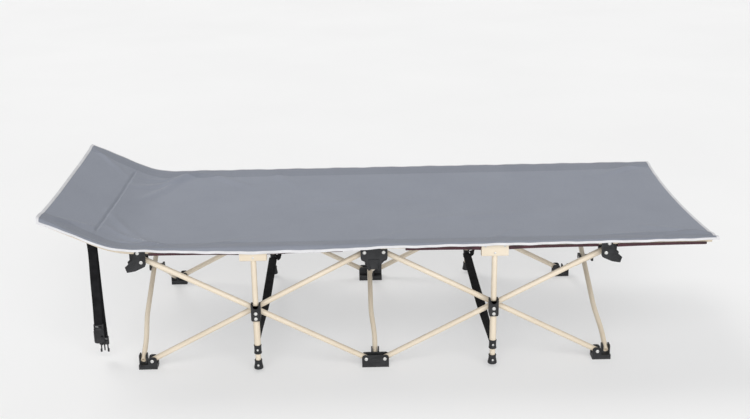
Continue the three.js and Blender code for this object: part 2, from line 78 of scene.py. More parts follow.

# %% [markdown]
# The camera stands in front of the cot, a little above it, with a normal lens. It has no depth
# of field. It comes before the pieces.

# %% Camera
CAMERA_PLACE = (-0.0708, -3.2109, 1.4752)
CAMERA_TURN = -0.0145
CAMERA_TILT = -0.3221
CAMERA_ROLL = -0.016
CAMERA_LENS = 52.36
CAMERA_SHIFT = (0.0102, -0.0157)
camera_turned = (Matrix.Rotation(CAMERA_TURN, 4, "Z")
                 @ Matrix.Rotation(math.pi / 2 + CAMERA_TILT, 4, "X")
                 @ Matrix.Rotation(CAMERA_ROLL, 4, "Z"))
bpy.ops.object.camera_add(location=CAMERA_PLACE, rotation=camera_turned.to_euler())
camera = bpy.context.object
camera.name = "studio_camera"
camera.data.sensor_width = 36
camera.data.lens = CAMERA_LENS
camera.data.shift_x, camera.data.shift_y = CAMERA_SHIFT
camera.data.dof.use_dof = False
bpy.context.scene.camera = camera
print("camera at", CAMERA_PLACE, "lens", CAMERA_LENS)

# %% [markdown]
# A finish is a small tree of nodes. The pattern reads the piece's own coordinates, so it keeps
# its scale on every piece. Numbers that are the same all over stay on the shader's own sockets.

# %% Helpers for finishes
def new_finish(name, colour, roughness, metallic=0.0, specular=0.5):
    """A material with a Principled shader, its tree, and the shader."""
    material = bpy.data.materials.new(name)
    material.use_nodes = True
    tree = material.node_tree
    shader = tree.nodes["Principled BSDF"]
    shader.inputs["Base Color"].default_value = (*colour, 1)
    shader.inputs["Roughness"].default_value = roughness
    shader.inputs["Metallic"].default_value = metallic
    shader.inputs["Specular IOR Level"].default_value = specular
    return material, tree, shader


def place_from(tree, source="Object", stretch=(1, 1, 1)):
    """The coordinates a pattern reads, stretched along each axis."""
    coordinates = tree.nodes.new("ShaderNodeTexCoord")
    mapping = tree.nodes.new("ShaderNodeMapping")
    mapping.inputs["Scale"].default_value = stretch
    tree.links.new(coordinates.outputs[source], mapping.inputs["Vector"])
    return mapping.outputs["Vector"]


def noise(tree, place, scale, detail=3.0, roughness=0.5):
    """A cloudy pattern."""
    node = tree.nodes.new("ShaderNodeTexNoise")
    node.inputs["Scale"].default_value = scale
    node.inputs["Detail"].default_value = detail
    node.inputs["Roughness"].default_value = roughness
    tree.links.new(place, node.inputs["Vector"])
    return node.outputs["Fac"]


def threads(tree, place, scale, axis="X"):
    """Even rounded ridges, as of threads lying side by side."""
    node = tree.nodes.new("ShaderNodeTexWave")
    node.wave_type = "BANDS"
    node.bands_direction = axis
    node.wave_profile = "SIN"
    node.inputs["Scale"].default_value = scale
    tree.links.new(place, node.inputs["Vector"])
    return node.outputs["Fac"]


def two_tones(tree, amount, dark, light, low=0.35, high=0.65):
    """A colour that goes from dark to light as amount goes from low to high."""
    ramp = tree.nodes.new("ShaderNodeValToRGB")
    ramp.color_ramp.elements[0].position = low
    ramp.color_ramp.elements[0].color = (*dark, 1)
    ramp.color_ramp.elements[1].position = high
    ramp.color_ramp.elements[1].color = (*light, 1)
    tree.links.new(amount, ramp.inputs["Fac"])
    return ramp.outputs["Color"]


def painted(tree, shader, amount, dark, light, low=0.35, high=0.65):
    """Colours the surface in two tones."""
    tones = two_tones(tree, amount, dark, light, low, high)
    tree.links.new(tones, shader.inputs["Base Color"])


def combined(tree, first, second, operation="MULTIPLY"):
    """Two patterns made one."""
    node = tree.nodes.new("ShaderNodeMath")
    node.operation = operation
    tree.links.new(first, node.inputs[0])
    tree.links.new(second, node.inputs[1])
    return node.outputs["Value"]


def ranged(tree, amount, low, high):
    """A pattern from 0 to 1 made to run from low to high."""
    node = tree.nodes.new("ShaderNodeMapRange")
    node.inputs["To Min"].default_value = low
    node.inputs["To Max"].default_value = high
    tree.links.new(amount, node.inputs["Value"])
    return node.outputs["Result"]


def polished(tree, shader, amount, low, high):
    """Makes the surface rough by a pattern, from low to high."""
    tree.links.new(ranged(tree, amount, low, high), shader.inputs["Roughness"])


def embossed(tree, shader, heights):
    """Raises the surface by each pattern in turn: (pattern, strength, depth in metres)."""
    under = None
    for height, strength, depth in heights:
        bump = tree.nodes.new("ShaderNodeBump")
        bump.inputs["Strength"].default_value = strength
        bump.inputs["Distance"].default_value = depth
        tree.links.new(height, bump.inputs["Height"])
        if under is not None:
            tree.links.new(under, bump.inputs["Normal"])
        under = bump.outputs["Normal"]
    tree.links.new(under, shader.inputs["Normal"])

# %% [markdown]
# The tubes are powder coated in warm cream. The coat has a fine orange peel, it is a little
# glossier where hands have rubbed it, and it carries faint grey scuffs.

# %% Cream powder coat
CREAM = (0.70, 0.61, 0.485)
cream_coat, tree, shader = new_finish("cream_powder_coat", CREAM, 0.4)
place = place_from(tree)
clouds = noise(tree, place, 7, detail=4)
scuffs = noise(tree, place_from(tree, stretch=(60, 60, 25)), 3.0, detail=6, roughness=0.7)
peel = noise(tree, place, 900, detail=2)
tones = two_tones(tree, clouds, (0.65, 0.56, 0.435), (0.73, 0.645, 0.52), 0.3, 0.7)
worn = tree.nodes.new("ShaderNodeMix")
worn.data_type = "RGBA"
worn.inputs["B"].default_value = (0.54, 0.48, 0.39, 1)
where_worn = two_tones(tree, scuffs, (0, 0, 0), (1, 1, 1), 0.62, 0.8)
tree.links.new(ranged(tree, where_worn, 0, 0.35), worn.inputs["Factor"])
tree.links.new(tones, worn.inputs["A"])
tree.links.new(worn.outputs["Result"], shader.inputs["Base Color"])
polished(tree, shader, clouds, 0.34, 0.48)
embossed(tree, shader, [(peel, 0.25, 0.0003)])
shader.inputs["Coat Weight"].default_value = 0.15
shader.inputs["Coat Roughness"].default_value = 0.3
print("finish:", cream_coat.name)

# %% [markdown]
# Inside its open ends a tube is bare and dull, so the inner wall has a finish of its own.

# %% Bare inside of a tube
tube_inside, tree, shader = new_finish("tube_inside", (0.20, 0.18, 0.15), 0.7)
place = place_from(tree)
painted(tree, shader, noise(tree, place, 120), (0.12, 0.105, 0.09), (0.26, 0.23, 0.19))
embossed(tree, shader, [(noise(tree, place, 500), 0.3, 0.0003)])
print("finish:", tube_inside.name)

# %% [markdown]
# The joints, shoes and feet are injection moulded nylon: near black, satin, with a fine spark
# texture from the mould and paler rubbed patches.

# %% Black nylon
black_nylon, tree, shader = new_finish("black_nylon", (0.014, 0.0145, 0.016), 0.5, specular=0.35)
place = place_from(tree)
grain = noise(tree, place, 1400, detail=2)
rubbed = noise(tree, place, 45, detail=5, roughness=0.6)
painted(tree, shader, rubbed, (0.010, 0.0105, 0.012), (0.026, 0.027, 0.030), 0.35, 0.75)
polished(tree, shader, rubbed, 0.4, 0.58)
embossed(tree, shader, [(grain, 0.35, 0.0002), (rubbed, 0.15, 0.0006)])
print("finish:", black_nylon.name)

# %% [markdown]
# The rivets are zinc plated: pale, more than half metallic, and clouded by fine spots.

# %% Zinc rivets
rivet_zinc, tree, shader = new_finish("rivet_zinc", (0.62, 0.62, 0.61), 0.36, metallic=0.6)
place = place_from(tree)
spots = noise(tree, place, 260, detail=4)
painted(tree, shader, spots, (0.52, 0.52, 0.51), (0.70, 0.70, 0.69))
polished(tree, shader, spots, 0.26, 0.42)
embossed(tree, shader, [(spots, 0.1, 0.0003)])
print("finish:", rivet_zinc.name)

# %% [markdown]
# The bed is a coated oxford cloth in blue grey. Its pattern follows the cloth's own map, which
# runs in metres along and across the bed, so the threads lie square to the hems. Thick and thin
# threads give faint streaks both ways, and use leaves broad soft patches.

# %% Bed cloth
bed_cloth, tree, shader = new_finish("grey_oxford_cloth", (0.21, 0.225, 0.26), 0.78, specular=0.35)
place = place_from(tree, "UV")
warp = threads(tree, place, 210, "X")
weft = threads(tree, place, 210, "Y")
streaks_long = noise(tree, place_from(tree, "UV", (14, 420, 1)), 1.0, detail=3)
streaks_cross = noise(tree, place_from(tree, "UV", (420, 14, 1)), 1.0, detail=3)
patches = noise(tree, place, 5.5, detail=4, roughness=0.55)
streaks = combined(tree, streaks_long, streaks_cross, "ADD")
tone = combined(tree, ranged(tree, streaks, 0.0, 0.5), ranged(tree, patches, 0.0, 0.5), "ADD")
painted(tree, shader, tone, (0.194, 0.212, 0.257), (0.262, 0.282, 0.332), 0.25, 0.9)
polished(tree, shader, patches, 0.68, 0.86)
shader.inputs["Sheen Weight"].default_value = 0.12
shader.inputs["Sheen Roughness"].default_value = 0.5
weave = combined(tree, warp, weft, "ADD")
embossed(tree, shader, [(weave, 0.35, 0.0004), (patches, 0.25, 0.002)])
print("finish:", bed_cloth.name)

# %% [markdown]
# Along the rails the cloth is sewn double. The hem has the same weave in a darker colour, which is
# painted shade on the band that falls to the rails. The finish is copied, and its colours are scaled
# down.

# %% Darker hem cloth, with painted shade
HEM_PAINTED_SHADE = 0.86
hem_cloth_painted_shade = bed_cloth.copy()
hem_cloth_painted_shade.name = "grey_oxford_hem_painted_shade"
# Every colour stop is darkened: painted shade.
for node in hem_cloth_painted_shade.node_tree.nodes:
    if node.type == "VALTORGB":
        for stop in node.color_ramp.elements:
            stop.color = (*(HEM_PAINTED_SHADE * part for part in stop.color[:3]), 1)
print("finish:", hem_cloth_painted_shade.name)

# %% [markdown]
# Under the bed the cloth shows its coating, which is paler than the face and hides the yarns.

# %% Underside of the cloth, with its pale coating
cloth_underside, tree, shader = new_finish("cloth_coated_side", (0.33, 0.345, 0.37), 0.6)
place = place_from(tree, "UV")
painted(tree, shader, noise(tree, place, 9, detail=4), (0.27, 0.285, 0.31), (0.37, 0.385, 0.41))
weave = combined(tree, threads(tree, place, 210, "X"), threads(tree, place, 210, "Y"), "ADD")
embossed(tree, shader, [(weave, 0.25, 0.0004)])
print("finish:", cloth_underside.name)

# %% [markdown]
# A white tape is folded over every edge and sewn through. Its ribs run across it.

# %% White binding tape
binding_tape, tree, shader = new_finish("white_binding_tape", (0.68, 0.68, 0.70), 0.7)
place = place_from(tree, "UV")
ribs = threads(tree, place, 300, "X")
stitch_run = threads(tree, place, 120, "X")
soiled = noise(tree, place, 18, detail=5)
painted(tree, shader, soiled, (0.57, 0.57, 0.59), (0.69, 0.69, 0.71), 0.3, 0.7)
embossed(tree, shader, [(ribs, 0.3, 0.0003), (stitch_run, 0.12, 0.0004)])
print("finish:", binding_tape.name)

# %% [markdown]
# A dark maroon lining runs inside each hem, where the rail would wear the cloth.

# %% Maroon lining of the rail sleeves
rail_lining, tree, shader = new_finish("maroon_lining", (0.05, 0.015, 0.022), 0.75)
place = place_from(tree, "UV")
painted(tree, shader, noise(tree, place, 30, detail=4), (0.034, 0.012, 0.017), (0.075, 0.019, 0.029))
embossed(tree, shader, [(threads(tree, place, 260, "Y"), 0.4, 0.0004)])
print("finish:", rail_lining.name)

# %% [markdown]
# The straps are polypropylene webbing. Rows along the strap and picks across it are multiplied,
# so the bumps make small cushions as in the woven band.

# %% Black webbing
black_webbing, tree, shader = new_finish("black_webbing", (0.008, 0.008, 0.009), 0.8, specular=0.15)
place = place_from(tree, "UV")
rows = threads(tree, place, 160, "X")
picks = threads(tree, place, 260, "Y")
fuzz = noise(tree, place, 40, detail=4)
painted(tree, shader, fuzz, (0.005, 0.005, 0.006), (0.013, 0.013, 0.0145))
embossed(tree, shader, [(combined(tree, rows, picks, "MULTIPLY"), 0.6, 0.0007), (fuzz, 0.2, 0.0008)])
print("finish:", black_webbing.name)

# %% [markdown]
# The stitches across the head are of thread close to the cloth's own colour.

# %% Thread of the stitches
stitch_thread, tree, shader = new_finish("grey_stitch_thread", (0.20, 0.215, 0.25), 0.7)
place = place_from(tree)
painted(tree, shader, noise(tree, place, 700), (0.15, 0.165, 0.20), (0.24, 0.255, 0.29))
embossed(tree, shader, [(noise(tree, place, 1500), 0.4, 0.0002)])
print("finish:", stitch_thread.name)

# %% [markdown]
# Two small tools do most of the modelling. The first clears what is selected, because an
# operator acts on everything that is. The second picks faces or edges by their place.

# %% Helpers for modelling
def clear_selection():
    """Leaves edit mode and selects nothing."""
    if bpy.context.object is not None and bpy.context.object.mode != "OBJECT":
        bpy.ops.object.mode_set(mode="OBJECT")
    bpy.ops.object.select_all(action="DESELECT")


def work_on(piece):
    """Makes one piece the only selected one."""
    clear_selection()
    piece.select_set(True)
    bpy.context.view_layer.objects.active = piece


def edit(piece):
    """Opens a piece for editing, with nothing selected in it."""
    work_on(piece)
    bpy.ops.object.mode_set(mode="EDIT")
    bpy.ops.mesh.select_all(action="DESELECT")


def pick_faces(piece, wanted):
    """In edit mode, selects the faces whose centre and normal, in the scene, are wanted."""
    bpy.ops.mesh.select_mode(type="FACE")
    bpy.ops.mesh.select_all(action="DESELECT")
    mesh = bmesh.from_edit_mesh(piece.data)
    turn = piece.matrix_world.to_3x3().inverted().transposed()
    for face in mesh.faces:
        if wanted(piece.matrix_world @ face.calc_center_median(), (turn @ face.normal).normalized()):
            face.select_set(True)
    bmesh.update_edit_mesh(piece.data)


def pick_edges(piece, wanted):
    """In edit mode, selects the edges whose two ends, in the scene, are wanted."""
    bpy.ops.mesh.select_mode(type="EDGE")
    bpy.ops.mesh.select_all(action="DESELECT")
    mesh = bmesh.from_edit_mesh(piece.data)
    for one in mesh.edges:
        if wanted(*(piece.matrix_world @ vertex.co for vertex in one.verts)):
            one.select_set(True)
    bmesh.update_edit_mesh(piece.data)


def modified(piece, kind, **settings):
    """Adds a modifier and applies it."""
    work_on(piece)
    modifier = piece.modifiers.new(kind.lower(), kind)
    for name, value in settings.items():
        setattr(modifier, name, value)
    bpy.ops.object.modifier_apply(modifier=modifier.name)
    return piece


def rounded(piece, width, sharper_than):
    """Rounds a piece's edges where its faces meet at more than an angle in degrees."""
    return modified(piece, "BEVEL", width=width, segments=2, limit_method="ANGLE",
                    angle_limit=math.radians(sharper_than))


def settled(piece, name, finish, smooth_below=35):
    """Names a piece, gives it its finish, smooths it, and puts its origin at the scene's."""
    work_on(piece)
    bpy.ops.object.transform_apply(location=True, rotation=True, scale=True)
    piece.name = name
    piece.data.name = name
    piece.data.materials.clear()
    piece.data.materials.append(finish)
    bpy.ops.object.shade_smooth_by_angle(angle=math.radians(smooth_below))
    return piece


def copied(piece, name, place):
    """A copy with its own mesh, carried by place. A mirrored copy gets its faces turned out."""
    copy = piece.copy()
    copy.data = piece.data.copy()
    copy.name = name
    copy.data.name = name
    bpy.context.scene.collection.objects.link(copy)
    copy.data.transform(place)
    if place.determinant() < 0:
        copy.data.flip_normals()
    return copy


def joined(pieces, name):
    """Several settled pieces made one."""
    clear_selection()
    for piece in pieces:
        piece.select_set(True)
    bpy.context.view_layer.objects.active = pieces[0]
    if len(pieces) > 1:
        bpy.ops.object.join()
    pieces[0].name = name
    pieces[0].data.name = name
    return pieces[0]


def mirror_at(end, side):
    """Turns a piece made for the tail's back corner into one for another corner."""
    middle = Matrix.Translation((COT_MIDDLE, 0, 0))
    return middle @ Matrix.Diagonal((end, side, 1, 1)) @ middle.inverted()


def put(piece, body, stands_for=()):
    """Hangs a finished piece on its body, in place of its CAD nodes."""
    if stands_for:
        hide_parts(*stands_for)
    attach(piece, body)
    return piece


print("modelling helpers are ready")

# %% [markdown]
# Two carry straps hang under the head section. They are flat webbing, so each is a thin band
# drawn along the line that it hangs in, wide across the line and rounded at its edges. Both go
# down from the cloth, and each ends in one half of a side release buckle.

# %% A band of webbing along a line
WEB_WIDTH = 0.028
WEB_THICK = 0.002


def smooth_line(points, count):
    """An even curve through a few points."""
    spline_points = [Vector(point) for point in points]
    padded = [spline_points[0] * 2 - spline_points[1], *spline_points,
              spline_points[-1] * 2 - spline_points[-2]]
    fine = []
    for i in range(1, len(padded) - 2):
        a, b, c, d = padded[i - 1:i + 3]
        for step in range(24):
            t = step / 24
            fine.append(0.5 * (2 * b + (c - a) * t + (2 * a - 5 * b + 4 * c - d) * t ** 2
                               + (3 * b - a - 3 * c + d) * t ** 3))
    fine.append(spline_points[-1])
    lengths = [0.0]
    for one, following in zip(fine, fine[1:]):
        lengths.append(lengths[-1] + (following - one).length)
    line = []
    for i in range(count):
        target = lengths[-1] * i / (count - 1)
        j = min(
            range(len(lengths) - 1),
            key=lambda k: 0 if lengths[k] <= target <= lengths[k + 1] + 1e-9 else 1
        )
        share = (target - lengths[j]) / max(lengths[j + 1] - lengths[j], 1e-9)
        line.append(fine[j].lerp(fine[j + 1], share))
    return line, lengths[-1]


def web_band(name, line, across, width=WEB_WIDTH, thick=WEB_THICK, cup=0.0):
    """A closed band along a line. across gives the width's direction at each share of the line."""
    half = width / 2
    rim = thick / 2
    profile = []
    for share in (-1, -0.6, -0.2, 0.2, 0.6, 1):
        profile.append((share * (half - rim), rim))
    profile.append((half - 0.3 * rim, 0.6 * rim))
    profile.append((half, 0))
    profile.append((half - 0.3 * rim, -0.6 * rim))
    for share in (1, 0.6, 0.2, -0.2, -0.6, -1):
        profile.append((share * (half - rim), -rim))
    profile.append((-half + 0.3 * rim, -0.6 * rim))
    profile.append((-half, 0))
    profile.append((-half + 0.3 * rim, 0.6 * rim))
    mesh = bmesh.new()
    map_layer = mesh.loops.layers.uv.new("UVMap")
    rings = []
    along = 0.0
    for i, point in enumerate(line):
        ahead = line[min(i + 1, len(line) - 1)] - line[max(i - 1, 0)]
        ahead.normalize()
        sideways = Vector(across(i / (len(line) - 1)))
        sideways = (sideways - ahead * sideways.dot(ahead)).normalized()
        outward = ahead.cross(sideways)
        if i:
            along += (point - line[i - 1]).length
        ring = []
        for x, y in profile:
            bowed = y + cup * (1 - (x / half) ** 2)
            ring.append((mesh.verts.new(point + sideways * x + outward * bowed), (x, along)))
        rings.append(ring)
    count = len(profile)
    for ring, following in zip(rings, rings[1:]):
        for i in range(count):
            corners = [ring[i], ring[(i + 1) % count], following[(i + 1) % count], following[i]]
            face = mesh.faces.new([vertex for vertex, _ in corners])
            for loop, (_, place_on) in zip(face.loops, corners):
                loop[map_layer].uv = place_on
    for ring in (rings[0], rings[-1]):
        face = mesh.faces.new([vertex for vertex, _ in ring])
        for loop, (_, place_on) in zip(face.loops, ring):
            loop[map_layer].uv = place_on
    bmesh.ops.recalc_face_normals(mesh, faces=mesh.faces[:])
    data = bpy.data.meshes.new(name)
    mesh.to_mesh(data)
    mesh.free()
    band = bpy.data.objects.new(name, data)
    bpy.context.scene.collection.objects.link(band)
    return settled(band, name, black_webbing, 50)

# %% [markdown]
# A buckle half is moulded nylon. The socket is a flat box with a mouth below and a window in
# each side; above it a ladder of two bars grips the webbing. The plug has a middle pin and two
# springy arms below a block, and the same ladder.

# %% Moulded blocks for the buckles
def block(low, high, bevel=0.0008, segments=2):
    """A box between two corners, its edges rounded."""
    clear_selection()
    bpy.ops.mesh.primitive_cube_add(size=1, location=[(a + b) / 2 for a, b in zip(low, high)])
    piece = bpy.context.object
    piece.scale = [b - a for a, b in zip(low, high)]
    bpy.ops.object.transform_apply(location=False, rotation=False, scale=True)
    edit(piece)
    bpy.ops.mesh.select_all(action="SELECT")
    bpy.ops.mesh.bevel(offset=bevel, segments=segments, affect="EDGES")
    bpy.ops.object.mode_set(mode="OBJECT")
    return piece


def strap_ladder(x, y, top, half):
    """Two side posts and two bars, that the webbing winds through."""
    pieces = []
    for sign in (-1, 1):
        edge = x + sign * (half - 0.002)
        post = block((edge - 0.002, y - 0.0035, top - 0.016), (edge + 0.002, y + 0.0035, top), 0.0012)
        pieces.append(post)
    for height in (top - 0.004, top - 0.012):
        reach = half - 0.002
        bar = block(
            (x - reach, y - 0.0025, height - 0.002), (x + reach, y + 0.0025, height + 0.002), 0.001
        )
        pieces.append(bar)
    return pieces


# %% Socket half
def buckle_socket():
    """The half with the mouth, on the short strap."""
    low, high = (Vector(corner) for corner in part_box("buckle_socket"))
    x = (low.x + high.x) / 2
    y = (low.y + high.y) / 2
    half = (high.x - low.x) / 2
    top = high.z
    body = block((x - half, y - 0.005, low.z), (x + half, y + 0.005, top - 0.015), 0.0022, 3)
    edit(body)
    pick_faces(body, lambda centre, normal: normal.z < -0.95)
    bpy.ops.mesh.inset(thickness=0.0016)
    bpy.ops.mesh.extrude_region_move(TRANSFORM_OT_translate={"value": (0, 0, 0.02)})
    for sign in (-1, 1):
        pick_faces(body, lambda centre, normal: normal.x * sign > 0.95)
        bpy.ops.mesh.inset(thickness=0.003, depth=0)
        bpy.ops.mesh.extrude_region_move(TRANSFORM_OT_translate={"value": (-sign * 0.004, 0, 0)})
    pick_faces(body, lambda centre, normal: abs(normal.y) > 0.95)
    bpy.ops.mesh.inset(thickness=0.004, depth=-0.0009, use_individual=True)
    bpy.ops.object.mode_set(mode="OBJECT")
    pieces = [body, *strap_ladder(x, y, top, half)]
    return joined([settled(piece, "part", black_nylon) for piece in pieces], "buckle_socket_half")


# %% Plug half
def buckle_plug():
    """The half with the pin and arms, on the long strap."""
    low, high = (Vector(corner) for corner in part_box("buckle_plug"))
    x = (low.x + high.x) / 2
    y = (low.y + high.y) / 2
    half = (high.x - low.x) / 2
    top = high.z
    shoulder = top - 0.022
    pieces = [
        block((x - half, y - 0.004, shoulder - 0.004), (x + half, y + 0.004, top - 0.014), 0.0015, 3)
    ]
    pieces.append(
        block((x - 0.002, y - 0.0018, low.z + 0.004), (x + 0.002, y + 0.0018, shoulder), 0.001)
    )
    for sign in (-1, 1):
        arm_x = x + sign * 0.0095
        arm = block((arm_x - 0.0017, y - 0.0026, low.z), (arm_x + 0.0017, y + 0.0026, shoulder), 0.001)
        edit(arm)
        pick_faces(arm, lambda centre, normal: normal.z < -0.95)
        bpy.ops.transform.translate(value=(sign * 0.0025, 0, 0))
        bpy.ops.object.mode_set(mode="OBJECT")
        pieces.append(arm)
        catch_x = x + sign * 0.0118
        catch = block((catch_x - 0.0014, y - 0.0026, low.z + 0.001),
                      (catch_x + 0.0014, y + 0.0026, low.z + 0.010), 0.001)
        pieces.append(catch)
    pieces += strap_ladder(x, y, top, half)
    return joined([settled(piece, "part", black_nylon) for piece in pieces], "buckle_plug_half")

# %% [markdown]
# A hanging strap is never quite straight, so its line sways by a few millimetres and its width
# turns a little on the way down.

# %% The two hanging straps
CARRY_WIDTH = 0.025
CLOTH_CLEARANCE = 0.013    # under the cloth, whose sag brings it nearer there


def carry_strap(node, half_buckle, buckle_node, name, sway):
    """A strap from the cloth down to its buckle half, with a slight sway and twist."""
    low, high = (Vector(corner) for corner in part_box(node))
    x = (low.x + high.x) / 2
    y = (low.y + high.y) / 2
    drop = high.z - low.z
    route = [
        (x + 1.6 * min(sway, 0), y, high.z - CLOTH_CLEARANCE),
        (x + 1.3 * sway, y + 0.001, high.z - 0.25 * drop),
        (x + 0.9 * sway, y - 0.001, high.z - 0.55 * drop), (x + 0.6 * sway, y, high.z - 0.8 * drop),
        (x, y, low.z), (x, y, low.z - 0.008)
    ]
    line, length = smooth_line(route, 40)
    twist = math.radians(14)

    def across(share):
        turn = twist * math.sin(math.pi * share)
        return math.cos(turn), math.sin(turn), 0

    band = web_band(name, line, across, width=CARRY_WIDTH, cup=0.0006)
    put(half_buckle, "carry_straps", [buckle_node])
    put(band, "carry_straps", [node])
    print(name, "length", round(length, 3))
    return band


carry_strap("carry_strap_short", buckle_socket(), "buckle_socket", "carry_strap_with_socket", 0.003)
carry_strap("carry_strap_long", buckle_plug(), "buckle_plug", "carry_strap_with_plug", -0.004)

# %% [markdown]
# The frame is thin steel tube with open ends. A tube starts as a ring of points, which is drawn
# out along its line, and a Solidify modifier then gives it the real wall, so its mouth is open
# as on the cot. A small bevel rounds the rims.

# %% Drawing a tube
SIDE_RADIUS = 0.008
CROSS_RADIUS = 0.0075
TUBE_WALL = 0.001
TUBE_SIDES = 32
RIM_ROUND = 0.00025


def ring_at(place, direction, radius):
    """An open ring of points that faces along a direction, open for editing and selected."""
    clear_selection()
    bpy.ops.mesh.primitive_circle_add(vertices=TUBE_SIDES, radius=radius, location=place,
                                      rotation=Vector(direction).to_track_quat("Z", "Y").to_euler())
    tube = bpy.context.object
    bpy.ops.object.mode_set(mode="EDIT")
    bpy.ops.mesh.select_mode(type="EDGE")
    bpy.ops.mesh.select_all(action="SELECT")
    return tube


def drawn_on(step):
    """Draws the selected ring on by a step."""
    bpy.ops.mesh.extrude_region_move(TRANSFORM_OT_translate={"value": tuple(step)})


def walled(tube, name, wall=TUBE_WALL):
    """Gives a drawn tube its wall and rounded rims."""
    bpy.ops.mesh.select_all(action="SELECT")
    bpy.ops.mesh.remove_doubles(threshold=0.00001)
    bpy.ops.mesh.normals_make_consistent(inside=False)
    bpy.ops.object.mode_set(mode="OBJECT")
    modified(tube, "SOLIDIFY", thickness=wall, offset=-1, use_even_offset=True)
    rounded(tube, RIM_ROUND, 50)
    settled(tube, name, cream_coat)
    tube.data.materials.append(tube_inside)
    return tube


def straight_tube(name, start, end, radius, wall=TUBE_WALL):
    """A straight tube between two points."""
    start, end = Vector(start), Vector(end)
    tube = ring_at(start, end - start, radius)
    drawn_on(end - start)
    return walled(tube, name, wall)

# %% [markdown]
# Each side scissor is two straight bars. A bar ends a radius past its pivots. One outer and one
# inner bar are modelled for the tail's back corner, and the other corners are mirrored copies.

# %% Side bars
def past_pivots(low, high, radius=SIDE_RADIUS):
    """A bar's two ends, a radius beyond its pivots."""
    direction = (high - low).normalized()
    return low - direction * radius, high + direction * radius


outer_low = pivot("outer_bar_tail_back_hinge")
outer_high = pivot("end_joint_tail_back_hinge")
inner_low = pivot("end_shoe_tail_back_hinge")
inner_high = pivot("middle_joint_back_hinge")
inner_high = Vector((2 * COT_MIDDLE - inner_high.x, inner_high.y, inner_high.z))
outer_bar = straight_tube("outer_side_bar", *past_pivots(outer_low, outer_high), SIDE_RADIUS)
inner_bar = straight_tube("inner_side_bar", *past_pivots(inner_low, inner_high), SIDE_RADIUS)
for end_name, end in ENDS.items():
    for side_name, side in SIDES.items():
        corner = f"{end_name}_{side_name}"
        place = mirror_at(end, side)
        for level, pattern in (("outer", outer_bar), ("inner", inner_bar)):
            node = f"{level}_bar_{corner}"
            put(copied(pattern, f"{level}_bar_tube_{corner}", place), node, [node])
bpy.data.objects.remove(outer_bar)
bpy.data.objects.remove(inner_bar)
print("side bars: 8")

# %% [markdown]
# The cross bars jog sideways near each end, so that two of them pass side by side at the hub.
# The ring is drawn on in short steps, and each step also moves it sideways by its share.

# %% Cross bars
JOG_START = 0.07           # shares of a bar's length
JOG_END = 0.25
JOG_STEPS = 12


def cross_bar(name, node, low, high):
    """A jogged tube between two pivots. The CAD piece says how far and which way it jogs."""
    box_low, box_high = (Vector(corner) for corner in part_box(node))
    to_low = low.x - CROSS_RADIUS - box_low.x
    to_high = box_high.x - low.x - CROSS_RADIUS
    jog = to_high if to_high > to_low else -to_low
    start = past_pivots(low, high, CROSS_RADIUS)[0]
    length = (high - low).length
    direction = (high - low).normalized()
    tube = ring_at(start, direction, CROSS_RADIUS)
    stops = []
    for i in range(JOG_STEPS + 1):
        share = i / JOG_STEPS
        along = JOG_START + (JOG_END - JOG_START) * share
        stops.append((CROSS_RADIUS + length * along, share))
    whole = length + 2 * CROSS_RADIUS
    stops += [(whole - along, share) for along, share in reversed(stops)] + [(whole, 0)]
    along, aside = 0.0, 0.0
    for stop, share in stops:
        shift = jog * share * share * (3 - 2 * share)
        drawn_on(direction * (stop - along) + Vector((shift - aside, 0, 0)))
        along, aside = stop, shift
    return walled(tube, name)


for station in STATIONS:
    for foot, side in SIDES.items():
        node = f"cross_bar_{station}_{foot}_foot"
        hub_low, hub_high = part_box(f"crossing_hub_{station}")
        x = (hub_low[0] + hub_high[0]) / 2
        low = Vector((x, side * CROSS_SIDE, SHOE_HEIGHT))
        high = Vector((x, -side * CROSS_SIDE, HIGH_HEIGHT))
        put(cross_bar(f"cross_tube_{station}_{foot}_foot", node, low, high), node, [node])
print("cross bars: 6")

# %% [markdown]
# The head rail bends up in one easy curve: the ring is drawn straight, spun round the bend's
# centre, and drawn straight again. The tail rail is straight. The inner rails end in a flat
# tang that goes into the middle joint.

# %% Head and tail rails
HEAD_BEND_RADIUS = 0.250
HEAD_BEND_AT = 0.070       # middle of the bend, past the head joint
HEAD_SLOPE = math.radians(25)
bend_middle = pivot("end_joint_head_front_hinge").x - HEAD_BEND_AT
HEAD_BEND_START = bend_middle + HEAD_BEND_RADIUS * math.tan(HEAD_SLOPE / 2)
HEAD_RAIL_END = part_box("rail_head_front")[0][0] + SIDE_RADIUS * math.sin(HEAD_SLOPE)
TAIL_RAIL_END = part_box("rail_tail_front")[1][0]


def head_rail(name, side):
    """The bent tube from a post's channel to the head end."""
    hinge = pivot(f"rail_head_{side}_hinge")
    start = Vector((hinge.x + SIDE_RADIUS, hinge.y, RAIL_HEIGHT))
    tube = ring_at(start, (-1, 0, 0), SIDE_RADIUS)
    drawn_on((HEAD_BEND_START - start.x, 0, 0))
    bend_centre = (HEAD_BEND_START, start.y, RAIL_HEIGHT + HEAD_BEND_RADIUS)
    bpy.ops.mesh.spin(steps=16, angle=HEAD_SLOPE, center=bend_centre, axis=(0, -1, 0))
    bend_end = HEAD_BEND_START - HEAD_BEND_RADIUS * math.sin(HEAD_SLOPE)
    run = bend_end - HEAD_RAIL_END
    drawn_on((-run, 0, run * math.tan(HEAD_SLOPE)))
    return walled(tube, name)


for side_name in SIDES:
    node = f"rail_head_{side_name}"
    put(head_rail(f"head_rail_{side_name}", side_name), node, [node])
    place = pivot(f"rail_tail_{side_name}_hinge")
    tail_rail = straight_tube(f"tail_rail_{side_name}", place - Vector((SIDE_RADIUS, 0, 0)),
                              (TAIL_RAIL_END, place.y, place.z), SIDE_RADIUS)
    put(tail_rail, f"rail_tail_{side_name}", [f"rail_tail_{side_name}"])
    print("rails:", side_name, "from", round(HEAD_RAIL_END, 3), "to", round(TAIL_RAIL_END, 3))

